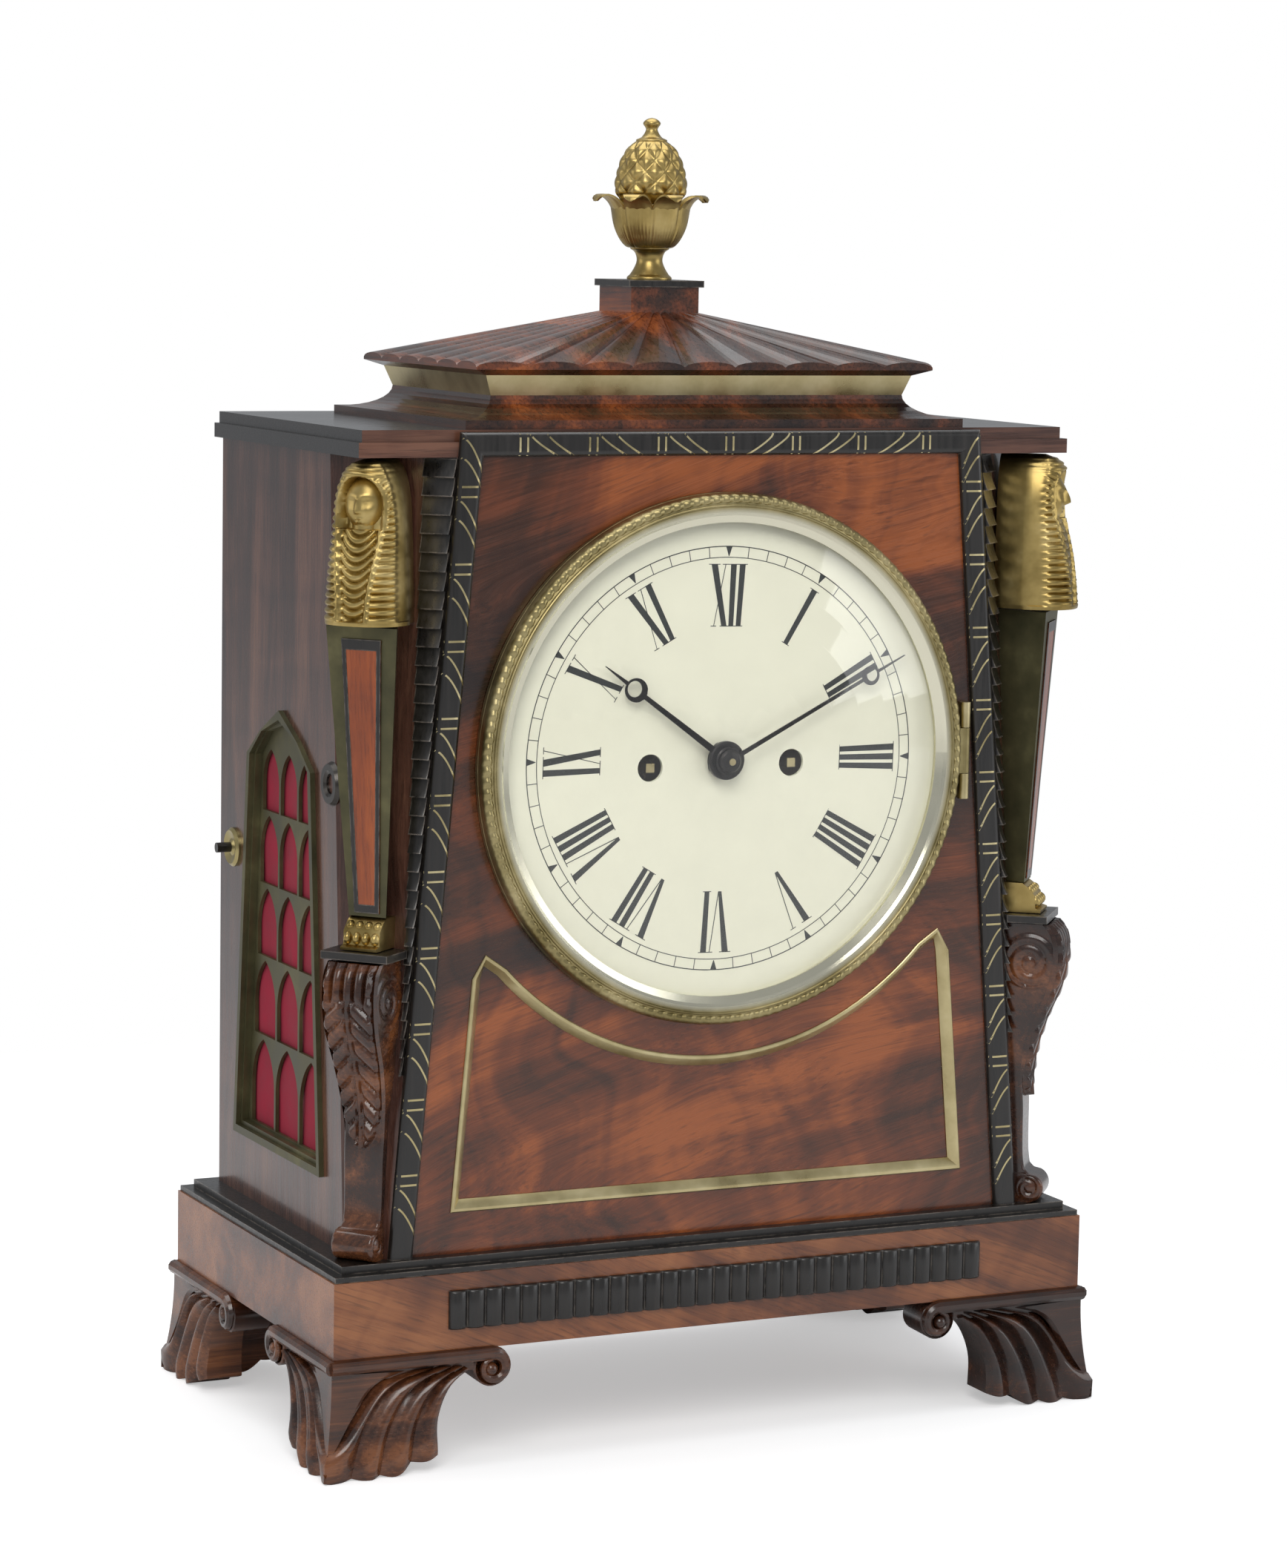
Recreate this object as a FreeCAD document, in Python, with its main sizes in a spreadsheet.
import FreeCAD, Part
import math
import os
import Sketcher

# A table clock in a tapering case with chamfered front corners. The frame stands on the
# centre of the footprint, +Z up, the dial faces -Y. All sizes are millimetres.

V = FreeCAD.Vector
UP = V(0, 0, 1)
doc = FreeCAD.newDocument("bracket_clock")

# ---------------------------------------------------------------- driving dimensions
SIZES = [
    # feet
    ("foot_height", 50.0), ("foot_length", 80.0), ("foot_base", 48.5), ("foot_splay", 8.0),
    ("foot_bulge_height", 8.0), ("foot_board", 15.0), ("foot_scroll", 8.2), ("foot_neck", 1.6),
    # plinth
    ("plinth_width", 354.8), ("plinth_depth", 190.6), ("plinth_height", 32.7),
    ("plinth_step", 1.7), ("plinth_step_height", 2.4), ("plinth_cap_inset", 5.5), ("plinth_cap_height", 3.4),
    ("reed_panel_length", 252.8), ("reed_panel_height", 16.4), ("reed_panel_back", 1.2),
    ("reed_count", 31), ("reed_rise", 1.7),
    # case
    ("side_ledge", 15.2), ("back_ledge", 11.6), ("front_ledge", 10.8), ("case_width", "=plinth_width - 2 * side_ledge"),
    ("case_back", "=plinth_depth / 2 - back_ledge"), ("case_front", "=plinth_depth / 2 - front_ledge"),
    ("case_height", 331.7),
    ("side_board", 12.0), ("mask_board", 10.0), ("corner_board", 9.5),
    ("corner_x_top", 40.0), ("corner_y_top", 40.1), ("corner_x_foot", 12.5), ("corner_y_foot", 18.0),
    # border moulding, ripple strips, sunk panel
    ("border_width", 10.9), ("border_rise", 3.0), ("border_round", 2.6), ("rail_height", 10.3),
    ("ripple_width_top", 14.4), ("ripple_width_foot", 0.8), ("ripple_foot", 165.0), ("ripple_rise", 2.2),
    # dial, bezel and glass
    ("dial_height", 292.0), ("bezel_margin", 8.9286),
    ("bezel_radius", "=case_width / 2 - corner_x_foot - (corner_x_top - corner_x_foot) * (dial_height - foot_height"
                     " - plinth_height - plinth_step_height - plinth_cap_height) / case_height - border_width"
                     " - bezel_margin"),
    ("bezel_depth", 8.7), ("bezel_gap", 0.4), ("sight_inset", 12.4), ("lip_inset", 9.4), ("glass_inset", 11.0),
    ("dial_inset", 9.6), ("sight_radius", "=bezel_radius - sight_inset"), ("lip_radius", "=bezel_radius - lip_inset"),
    ("glass_radius", "=bezel_radius - glass_inset"), ("dial_radius", "=bezel_radius - dial_inset"),
    ("glass_rise", 10.0), ("glass_sheet", 2.0), ("glass_seat", 2.9), ("glass_play", 0.3),
    ("dial_proud", 0.2), ("dial_sheet", 1.6), ("dial_hole_gap", 0.6), ("dial_post_inset", 16.0),
    ("dial_post_drop", 19.0), ("winding_offset", 33.2), ("winding_drop", 2.6), ("winding_hole", 5.8),
    ("centre_hole", 6.0), ("hinge_offset", 3.4), ("hinge_x", "=bezel_radius + hinge_offset"), ("hinge_out", 3.2),
    ("hinge_height", 42.0), ("hinge_radius", 2.4), ("pin_radius", 0.9), ("pin_play", 0.06), ("knuckle_gap", 0.3),
    ("panel_foot", 106.0), ("panel_foot_half", 121.6), ("panel_shoulder", 204.0), ("panel_shoulder_half", 113.0),
    ("panel_ear", 214.0), ("panel_ear_half", 107.0), ("panel_arc_half", 97.5), ("panel_arc_end", 207.5),
    ("panel_arc_gap", 14.0),
    ("panel_arc_low", "=dial_height - bezel_radius - panel_arc_gap"), ("panel_sink", 3.0), ("panel_mould_width", 5.0), ("panel_mould_rise", 2.0),
    # side windows
    ("window_centre", 8.0), ("window_foot", 119.5), ("window_foot_half", 48.7), ("window_shoulder", 285.6),
    ("window_shoulder_half", 34.5), ("window_peak", 303.8), ("window_frame", 3.4), ("window_frame_rise", 2.2),
    ("fret_board", 1.6), ("fret_bar", 2.0), ("fret_inset", 3.0), ("cloth_board", 0.8),
    # top board and roof
    ("top_lower_half", 165.6), ("top_lower_height", 6.2), ("top_upper_half", 163.3), ("top_upper_height", 4.9),
    ("top_back_overhang", 1.7), ("top_upper_front", "=case_front - 2.5"),
    ("roof_centre", -5.5), ("fillet_half", 116.5), ("fillet_half_depth", 73.3), ("fillet_height", 3.6),
    ("cove_inset", 1.6), ("band_foot_half", 97.0), ("band_foot_half_depth", 53.6), ("cove_height", 9.4),
    ("band_top_half", 100.2), ("band_top_half_depth", 56.0), ("band_height", 8.4), ("band_sheet", 1.6),
    ("eave_half", 107.2), ("eave_half_depth", 62.2), ("eave_height", 3.6), ("eave_edge", 1.1),
    ("lobe_rise", 2.3), ("lobe_rise_crest", 0.9), ("roof_rise", 21.1), ("lobes_front", 9), ("lobes_side", 6),
    ("block_half", 16.1), ("block_height", 11.6), ("block_cap_half", 17.8), ("block_cap_height", 2.9),
    ("finial_y", -6.5),
    # finial: heights above its foot
    ("socle_height", 13.2), ("cup_height", 31.2), ("cup_radius", 16.9), ("petal_reach", 25.2), ("petal_rise", 5.2),
    ("petal_count", 8), ("petal_sheet", 1.2), ("cone_height", 62.0), ("cone_radius", 14.7), ("finial_height", 69.4),
    ("knob_radius", 3.7), ("neck_radius", 2.45),
    # herms and corbels on the front corners
    ("herm_inset", 15.0), ("herm_x", "=case_width / 2 - herm_inset"), ("herm_setback", 16.05),
    ("herm_y", "=herm_setback - case_front"), ("herm_turn", 50.0),
    ("herm_top", 351.5), ("herm_foot", 231.5), ("herm_half_top", 16.3), ("herm_half_foot", 8.6),
    ("herm_face_top", 20.0), ("herm_face_foot", 12.4), ("herm_undercut", 0.5), ("head_undercut", 0.25),
    ("herm_inlay_half_top", 9.1), ("herm_inlay_half_foot", 5.7), ("herm_inlay_rise", 0.6),
    ("head_top", 419.2), ("head_half", 16.4), ("head_front", 29.6), ("head_crown_front", 21.0),
    ("feet_half", 10.2), ("feet_front", 20.7), ("feet_foot", 219.6),
    ("abacus_foot", 214.5), ("abacus_height", 3.3), ("abacus_half", 15.4), ("abacus_front", 24.1),
    ("corbel_half_top", 13.2), ("corbel_half_shaft", 9.0), ("corbel_front", 30.6), ("corbel_shaft_front", 14.9),
    ("corbel_roll_half", 9.4), ("corbel_roll_front", 24.6), ("corbel_roll_radius", 6.4),
    # hands
    ("hour_hand_length", 69.3), ("hour_ring_at", 52.0), ("hour_ring", 5.1), ("minute_hand_length", 95.0),
    ("minute_ring_at", 76.4), ("minute_ring", 4.1), ("hand_sheet", 0.8), ("hour_hand_gap", 5.0),
    ("minute_hand_gap", 7.2), ("hour_boss", 8.2), ("minute_boss", 6.2), ("hour_blade", 2.9), ("minute_blade", 1.9),
    ("hour_droop", 2.6), ("minute_droop", 4.1), ("hour_pipe", 4.0), ("cannon_pipe", 2.4), ("pipe_play", 0.05),
    ("cannon_play", 0.08), ("nut_radius", 5.0),
    # movement
    ("plate_half", 74.0), ("plate_height", 150.0), ("plate_sheet", 2.5), ("plate_setback", 29.0), ("front_plate_back", "=plate_setback - case_front"),
    ("plate_gap", 53.5), ("pillar_radius", 5.0), ("pillar_inset", 10.0),
    ("seat_top", 212.0), ("seat_board", 12.0), ("seat_front", "=front_plate_back - 2.5"), ("seat_back", 6.0), ("cleat", 12.0),
    ("arbor", 1.5), ("pivot", 1.5), ("slim_arbor", 1.1), ("fusee_arbor", 2.4), ("square", 3.8), ("great_back", 11.5),
    ("strike_teeth", 84), ("strike_module", 0.6), ("pin_leaves", 8), ("pin_teeth", 60), ("pin_module", 0.5),
    ("lock_leaves", 7), ("lock_teeth", 56), ("lock_module", 0.45), ("fly_leaves", 7), ("strike_pins", 8),
    ("fly_half", 11.0), ("fly_length", 18.0), ("great_teeth", 96), ("centre_leaves", 8), ("centre_teeth", 84), ("third_leaves", 7),
    ("third_teeth", 78), ("escape_leaves", 7), ("escape_teeth", 33), ("centre_module", 0.55), ("third_module", 0.5),
    ("third_side", 12.0), ("wheel_sheet", 1.8), ("great_sheet", 3.0), ("escape_radius", 15.0), ("pallet_rise", 23.5),
    ("fusee_large", 19.0), ("fusee_small", 9.5), ("fusee_length", 30.0), ("fusee_turns", 12),
    ("barrel_radius", 21.0), ("barrel_length", 31.0), ("barrel_x", 44.0), ("barrel_drop", 52.0),
    ("cannon_teeth", 12), ("minute_wheel_teeth", 36), ("minute_leaves", 12), ("hour_teeth", 48), ("motion_distance", 16.8),
    ("pendulum_length", 165.5), ("bob_radius", 21.0), ("bob_sheet", 8.0), ("pendulum_y", 16.0), ("rod_radius", 1.5),
    ("bell_radius", 30.0), ("bell_height", 25.0), ("bell_sheet", 1.8), ("bell_x", -20.0), ("bell_foot", 376.0),
    ("bell_in", 22.8), ("bell_post", 2.2), ("bell_post_drop", 18.0),
    ("hammer_x", 40.0), ("hammer_height", 350.0),
    # back door
    ("door_gap", 0.5), ("door_board", 14.0), ("door_stile", 31.0), ("door_glass", 3.0),
    ("door_pin_out", 2.6), ("door_knuckle", 2.3), ("door_hinge_height", 32.0), ("door_hinge_inset", 42.0),
    ("door_knob_radius", 6.0), ("door_knob_out", 13.0),
    # fittings on the left side
    ("rose_inset", 17.7), ("rose_y", "=case_back - rose_inset"), ("rose_height", 241.4), ("rose_radius", 8.6), ("rose_rise", 2.4),
    ("button_radius", 2.2), ("button_out", 8.6), ("button_length", 26.0),
    ("ring_y", "=34.5 - case_front"), ("ring_height", 283.5), ("ring_radius", 9.3), ("ring_rise", 2.0), ("ring_bore", 4.2),
]


class Term:
    """A length with the sheet expression that gives it, so that a feature can be bound to it."""

    def __init__(self, value, text):
        self.value = float(value)
        self.text = text

    def __float__(self):
        return self.value

    def join(self, other, sign, value):
        return Term(value, f"({self.text} {sign} {term(other).text})")

    def __add__(self, other):
        return self.join(other, "+", self.value + float(other))

    def __sub__(self, other):
        return self.join(other, "-", self.value - float(other))

    def __mul__(self, other):
        return self.join(other, "*", self.value * float(other))

    def __truediv__(self, other):
        return self.join(other, "/", self.value / float(other))

    def __radd__(self, other):
        return term(other) + self

    def __rsub__(self, other):
        return term(other) - self

    def __rmul__(self, other):
        return term(other) * self

    def __neg__(self):
        return Term(-self.value, f"(0 - {self.text})")


def term(number):
    """A plain number as a term."""
    return number if isinstance(number, Term) else Term(number, repr(float(number)))


class Cells:
    """The spreadsheet, read by alias."""

    def __init__(self, rows):
        self.sheet = doc.addObject("Spreadsheet::Sheet", "Sizes")
        for line, (alias, value) in enumerate(rows, start=1):
            self.sheet.set(f"A{line}", alias)
            self.sheet.set(f"B{line}", str(value))
            self.sheet.setAlias(f"B{line}", alias)
            if isinstance(value, str):
                doc.recompute()
        doc.recompute()

    def __getattr__(self, alias):
        return Term(self.sheet.get(alias), f"Sizes.{alias}")


S = Cells(SIZES)
PIECES = []


# ---------------------------------------------------------------- ways of making a piece
def keep(obj, label):
    """Name a finished piece: its label names its file."""
    obj.Label = label
    PIECES.append(obj)
    return obj


def bind(obj, prop, size):
    obj.setExpression(prop, term(size).text)


def place(obj, x=0, y=0, z=0):
    for axis, size in (("x", x), ("y", y), ("z", z)):
        bind(obj, f"Placement.Base.{axis}", size)


def box(x0, x1, y0, y1, z0, z1):
    """A board between two corners."""
    board = doc.addObject("Part::Box", "Board")
    bind(board, "Length", term(x1) - x0)
    bind(board, "Width", term(y1) - y0)
    bind(board, "Height", term(z1) - z0)
    place(board, x0, y0, z0)
    return board


TURNS = {"x": FreeCAD.Rotation(V(0, 1, 0), 90), "y": FreeCAD.Rotation(V(1, 0, 0), -90), "z": FreeCAD.Rotation()}


def rod(axis, radius, x, y, z, length):
    """A cylinder that starts at a point and runs along +X, +Y or +Z."""
    bar = doc.addObject("Part::Cylinder", "Rod")
    bar.Placement = FreeCAD.Placement(V(), TURNS[axis])
    bind(bar, "Radius", radius)
    bind(bar, "Height", length)
    place(bar, x, y, z)
    return bar


def cut(base, tool):
    result = doc.addObject("Part::Cut", "Cut")
    result.Base = base
    result.Tool = tool
    return result


def fuse(*shapes):
    result = doc.addObject("Part::MultiFuse", "Fuse")
    result.Shapes = list(shapes)
    return result


def group(*shapes):
    """Separate solids that share one node."""
    result = doc.addObject("Part::Compound", "Group")
    result.Links = list(shapes)
    return result


def feature(shape):
    """A piece whose form is worked out in code."""
    result = doc.addObject("Part::Feature", "Form")
    result.Shape = shape
    return result


def sketch_polygon(body, plane, points, offset):
    """A closed outline on an origin plane, with every corner bound to the sheet."""
    sketch = body.newObject("Sketcher::SketchObject", "Outline")
    origin = [feature for feature in body.Origin.OriginFeatures if feature.Role == plane]
    sketch.AttachmentSupport = [(origin[0], "")]
    sketch.MapMode = "FlatFace"
    bind(sketch, "AttachmentOffset.Base.z", offset)
    corners = [V(float(x), float(y), 0) for x, y in points]
    count = len(corners)
    for here in range(count):
        sketch.addGeometry(Part.LineSegment(corners[here], corners[(here + 1) % count]), False)
    sketch.addConstraint([Sketcher.Constraint("Coincident", here, 2, (here + 1) % count, 1)
                          for here in range(count)])
    for here, (x, y) in enumerate(points):
        for kind, size in (("DistanceX", term(x)), ("DistanceY", term(y))):
            index = sketch.addConstraint(Sketcher.Constraint(kind, -1, 1, here, 1, size.value))
            sketch.setExpression(f"Constraints[{index}]", size.text)
    return sketch


def pad(plane, points, start, length):
    """A prism on an origin plane: XY runs up, XZ runs towards -Y, YZ runs towards +X."""
    body = doc.addObject("PartDesign::Body", "Body")
    sketch = sketch_polygon(body, plane, points, start)
    prism = body.newObject("PartDesign::Pad", "Pad")
    prism.Profile = sketch
    bind(prism, "Length", length)
    return body


def pocket(body, plane, points, start, length):
    """A prism cut from a body, running the same way as pad."""
    sketch = sketch_polygon(body, plane, points, start)
    hollow = body.newObject("PartDesign::Pocket", "Pocket")
    hollow.Profile = sketch
    hollow.Reversed = True
    bind(hollow, "Length", length)
    return body


def turned(points, x=0, y=0, z=0):
    """A piece turned about the upright through a point: points are radius and height."""
    body = doc.addObject("PartDesign::Body", "Turned")
    sketch = sketch_polygon(body, "XZ_Plane", points, 0)
    spin = body.newObject("PartDesign::Revolution", "Revolution")
    spin.Profile = sketch
    spin.ReferenceAxis = (sketch, ["V_Axis"])
    spin.Angle = 360
    place(body, x, y, z)
    return body


def turned_flat(points, x, z):
    """A piece turned about an axis along Y: points are radius and the place along Y."""
    body = doc.addObject("PartDesign::Body", "Turned")
    sketch = sketch_polygon(body, "XY_Plane", points, 0)
    spin = body.newObject("PartDesign::Revolution", "Revolution")
    spin.Profile = sketch
    spin.ReferenceAxis = (sketch, ["V_Axis"])
    spin.Angle = 360
    place(body, x, 0, z)
    return body


def polygon(points):
    return Part.makePolygon([V(*point) for point in points] + [V(*points[0])])


def loft(*sections):
    """A ruled solid through closed polygons."""
    return Part.makeLoft([polygon(section) for section in sections], True, True)


def extrude(points, direction):
    """A solid from a flat polygon of space points."""
    return Part.Face(polygon(points)).extrude(V(*direction))


def edges_into(points, arcs):
    """A closed wire of lines and three-point arcs: arcs maps a start index to a middle point."""
    edges = []
    for here, point in enumerate(points):
        following = points[(here + 1) % len(points)]
        if here in arcs:
            edges.append(Part.Arc(V(*point), V(*arcs[here]), V(*following)).toShape())
        else:
            edges.append(Part.makeLine(V(*point), V(*following)))
    return Part.Wire(edges)


def sides(make):
    """A left piece and its mirror image."""
    left = make()
    return left, left.mirror(V(), V(1, 0, 0))


def at_height(low, high, low_z, high_z, z):
    """A size that changes evenly with height."""
    return low + (high - low) * (z - low_z) / (high_z - low_z)


# ---------------------------------------------------------------- places worked out once
PLINTH_TOP = S.foot_height + S.plinth_height
CASE_FOOT = PLINTH_TOP + S.plinth_step_height + S.plinth_cap_height
CASE_TOP = CASE_FOOT + S.case_height
CASE_HALF = S.case_width / 2
INNER_HALF = CASE_HALF - S.side_board
MASK_HALF_TOP = CASE_HALF - S.corner_x_top
MASK_HALF_FOOT = CASE_HALF - S.corner_x_foot
SIDE_FRONT_TOP = S.corner_y_top - S.case_front
SIDE_FRONT_FOOT = S.corner_y_foot - S.case_front
TOP_BOARD_TOP = CASE_TOP + S.top_lower_height + S.top_upper_height
BAND_FOOT = TOP_BOARD_TOP + S.fillet_height + S.cove_height
BAND_TOP = BAND_FOOT + S.band_height
BLOCK_FOOT = BAND_TOP + S.eave_height + S.roof_rise
BLOCK_TOP = BLOCK_FOOT + S.block_height
FINIAL_FOOT = BLOCK_TOP + S.block_cap_height
BORDER_TOP = CASE_TOP + S.rail_height


def mask_half(z):
    return at_height(float(MASK_HALF_FOOT), float(MASK_HALF_TOP), float(CASE_FOOT), float(CASE_TOP), z)


def side_front(z):
    return at_height(float(SIDE_FRONT_FOOT), float(SIDE_FRONT_TOP), float(CASE_FOOT), float(CASE_TOP), z)


# ---------------------------------------------------------------- feet and plinth
def foot_outline():
    """One face of a bracket foot, from its outer corner: a is the way in, b the height."""
    splay, height, length = float(S.foot_splay), float(S.foot_height), float(S.foot_length)
    base, bulge, neck = float(S.foot_base), float(S.foot_bulge_height), float(S.foot_neck)
    scroll = float(S.foot_scroll)
    corners = [(0, height), (length - scroll, height), (length - scroll, height - 2 * scroll),
               (base + 14, height - 1.6 * scroll), (base, 6.0), (base - 1, 0), (1 - splay, 0),
               (-splay, bulge), (neck, height - 6), (0, height - 3)]
    bends = {1: (length, height - scroll), 3: (base + 3.5, height * 0.52), 7: (-splay * 0.32, height * 0.5)}
    return corners, bends


def foot_curb():
    """The swept outer face of a foot: the region inside it, in the same a and b."""
    splay, height = float(S.foot_splay), float(S.foot_height)
    bulge, neck, board = float(S.foot_bulge_height), float(S.foot_neck), float(S.foot_board)
    corners = [(0, height), (board, height), (board - splay, 0), (1 - splay, 0), (-splay, bulge),
               (neck, height - 6), (0, height - 3)]
    return corners, {4: (-splay * 0.32, height * 0.5)}


def foot(front):
    """A left foot: two carved faces mitred at the corner, the front one or the rear one."""
    half, depth = float(S.plinth_width) / 2, float(S.plinth_depth) / 2
    reach = float(S.foot_length) + 3 * float(S.foot_splay)

    def prism(shape, along):
        corners, bends = shape
        if along == "y":
            spot = lambda a, b: (a - half, -depth - float(S.foot_splay), b)
            run = V(0, reach, 0)
        else:
            spot = lambda a, b: (-half - float(S.foot_splay), a - depth, b)
            run = V(reach, 0, 0)
        wire = edges_into([spot(*corner) for corner in corners], {key: spot(*mid) for key, mid in bends.items()})
        return Part.Face(wire).extrude(run)

    front_face = prism(foot_outline(), "y").common(prism(foot_curb(), "x"))
    side_face = prism(foot_outline(), "x").common(prism(foot_curb(), "y"))
    whole = front_face.fuse(side_face).removeSplitter()
    return whole if front else whole.mirror(V(), V(0, 1, 0))


def feet_and_plinth():
    feet = []
    for front in (True, False):
        feet += [feature(shape) for shape in sides(lambda: foot(front))]
    keep(group(*feet), "bracket_feet")
    half, depth = S.plinth_width / 2, S.plinth_depth / 2
    keep(box(-half, half, -depth, depth, S.foot_height, PLINTH_TOP), "plinth_box")
    lower = box(-half + S.plinth_step / 2, half - S.plinth_step / 2, -depth + S.plinth_step / 2,
                depth - S.plinth_step / 2, PLINTH_TOP, PLINTH_TOP + S.plinth_step_height)
    foot_z = PLINTH_TOP + S.plinth_step_height
    cap = pad("XY_Plane", [(-half + S.plinth_cap_inset, -depth + S.plinth_cap_inset),
                           (half - S.plinth_cap_inset, -depth + S.plinth_cap_inset),
                           (half - S.plinth_cap_inset, depth - S.plinth_cap_inset),
                           (-half + S.plinth_cap_inset, depth - S.plinth_cap_inset)], foot_z, S.plinth_cap_height)
    keep(fuse(lower, cap), "plinth_moulding")
    keep(reeded_panel(), "reeded_panel")


def reeded_panel():
    """A strip of upright convex reeds on the front of the plinth."""
    half, height = S.reed_panel_length / 2, S.reed_panel_height
    low = S.foot_height + (S.plinth_height - height) / 2 + 1.1
    pitch = S.reed_panel_length / S.reed_count
    face = S.plinth_depth / 2
    body = pad("XY_Plane", [(-half, -face - S.reed_panel_back), (half, -face - S.reed_panel_back),
                            (half, -face), (-half, -face)], low, height)
    back = -face - S.reed_panel_back
    rise = S.reed_rise
    reed = [(-half, back + 0.3), (-half, back), (-half + pitch * 0.12, back - rise * 0.55),
            (-half + pitch * 0.3, back - rise * 0.92), (-half + pitch * 0.5, back - rise),
            (-half + pitch * 0.7, back - rise * 0.92), (-half + pitch * 0.88, back - rise * 0.55),
            (-half + pitch, back), (-half + pitch, back + 0.3)]
    sketch = sketch_polygon(body, "XY_Plane", reed, low)
    ridge = body.newObject("PartDesign::Pad", "Reed")
    ridge.Profile = sketch
    bind(ridge, "Length", height)
    row = body.newObject("PartDesign::LinearPattern", "Reeds")
    row.Originals = [ridge]
    row.Direction = (sketch, ["H_Axis"])
    bind(row, "Length", S.reed_panel_length - pitch)
    bind(row, "Occurrences", S.reed_count)
    body.Tip = row
    return body


# ---------------------------------------------------------------- case
def window_outline(grow=0.0):
    """The side window's outline as y, z points, larger by grow all round."""
    centre = S.window_centre
    foot_half, shoulder_half = S.window_foot_half + grow, S.window_shoulder_half + grow
    knee = (S.window_peak - S.window_shoulder) * 0.62
    return [(centre - foot_half, S.window_foot - grow), (centre + foot_half, S.window_foot - grow),
            (centre + shoulder_half, S.window_shoulder), (centre + shoulder_half * 0.58, S.window_shoulder + knee),
            (centre, S.window_peak + grow * 1.2), (centre - shoulder_half * 0.58, S.window_shoulder + knee),
            (centre - shoulder_half, S.window_shoulder)]


def side_panel(left):
    outline = [(SIDE_FRONT_FOOT, CASE_FOOT), (S.case_back, CASE_FOOT), (S.case_back, CASE_TOP),
               (SIDE_FRONT_TOP, CASE_TOP)]
    start = -CASE_HALF if left else INNER_HALF
    body = pad("YZ_Plane", outline, start, S.side_board)
    return pocket(body, "YZ_Plane", window_outline(), start, S.side_board)


def corner_boards():
    """The chamfered corners, each a board that twists a little from foot to top."""
    def left_board():
        sections = []
        for z in (float(CASE_FOOT), float(CASE_TOP)):
            front, inner = -float(S.case_front), float(S.mask_board)
            sections.append([(-float(CASE_HALF), side_front(z), z), (-mask_half(z), front, z),
                             (-mask_half(z), front + inner, z), (-float(INNER_HALF), side_front(z), z)])
        return loft(*sections)
    return sides(left_board)


def case_envelope():
    """The outside of the case as one solid, used to plane the backs of what is mounted on it."""
    sections = []
    for z in (float(CASE_FOOT) - 5, float(CASE_TOP) + 5):
        half, front, back = float(CASE_HALF), -float(S.case_front), float(S.case_back)
        sections.append([(-half, side_front(z), z), (-mask_half(z), front, z), (mask_half(z), front, z),
                         (half, side_front(z), z), (half, back, z), (-half, back, z)])
    return loft(*sections)


def panel_points(y, grow=0.0):
    """The sunk panel on the front: a foot rail, ears at the shoulders and a sagging top."""
    foot_half, shoulder = float(S.panel_foot_half) + grow, float(S.panel_shoulder)
    rows = [(foot_half, float(S.panel_foot) - grow), (float(S.panel_shoulder_half) + grow, shoulder),
            (float(S.panel_ear_half), float(S.panel_ear) + grow),
            (float(S.panel_arc_half) - grow * 0.6, float(S.panel_arc_end) + grow * 0.6)]
    right = [(x, y, z) for x, z in rows]
    left = [(-x, y, z) for x, z in reversed(rows)]
    points = right + left
    return points, {3: (0.0, y, float(S.panel_arc_low) + grow)}


def front_mask():
    front, back = float(S.case_front), float(S.case_front) - float(S.mask_board)
    board = pad("XZ_Plane", [(-MASK_HALF_FOOT, CASE_FOOT), (MASK_HALF_FOOT, CASE_FOOT), (MASK_HALF_TOP, CASE_TOP),
                             (-MASK_HALF_TOP, CASE_TOP)], S.case_front - S.mask_board, S.mask_board)
    hole = rod("y", S.dial_radius + S.dial_hole_gap, 0, -S.case_front - 1, S.dial_height, S.mask_board + 2)
    points, bends = panel_points(-front - 1)
    sunk = feature(Part.Face(edges_into(points, bends)).extrude(V(0, 1 + float(S.panel_sink), 0)))
    return cut(cut(board, hole), sunk)


def panel_moulding():
    """The brass moulding planted in the edge of the sunk panel."""
    front, sink = float(S.case_front), float(S.panel_sink)
    depth = sink + float(S.panel_mould_rise) * 0.4
    outer, outer_bends = panel_points(-front + sink)
    inner, inner_bends = panel_points(-front + sink, -float(S.panel_mould_width))
    ring = Part.Face([edges_into(outer, outer_bends), edges_into(inner, inner_bends)])
    ring.validate()
    return ring.extrude(V(0, -depth, 0))


def border():
    """The ebonised moulding round the front, three lengths mitred at the top corners."""
    width, z0, z1, z2 = S.border_width, CASE_FOOT, CASE_TOP, BORDER_TOP
    face = S.case_front
    slope = (MASK_HALF_FOOT - MASK_HALF_TOP) / S.case_height
    lean = slope * S.rail_height
    corner = MASK_HALF_TOP - lean
    pieces = []
    for sign in (-1, 1):
        points = [(sign * MASK_HALF_FOOT, z0), (sign * corner, z2), (sign * (MASK_HALF_TOP - width), z1),
                  (sign * (MASK_HALF_FOOT - width), z0)]
        pieces.append(pad("XZ_Plane", points, face, S.border_rise))
    rail = [(-(MASK_HALF_TOP - width), z1), (MASK_HALF_TOP - width, z1), (corner, z2), (-corner, z2)]
    pieces.append(pad("XZ_Plane", rail, face, S.border_rise))
    for body in pieces:
        body.recompute(True)
        edges = []
        for index, edge in enumerate(body.Shape.Edges, start=1):
            box_of = edge.BoundBox
            on_face = box_of.YMax < -float(face) - float(S.border_rise) + 0.01
            if on_face and edge.Length > 3 * float(width):
                edges.append(f"Edge{index}")
        prism = body.Tip
        rounding = body.newObject("PartDesign::Fillet", "Rounding")
        rounding.Base = (prism, edges)
        bind(rounding, "Radius", S.border_round)
    return pieces


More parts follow.
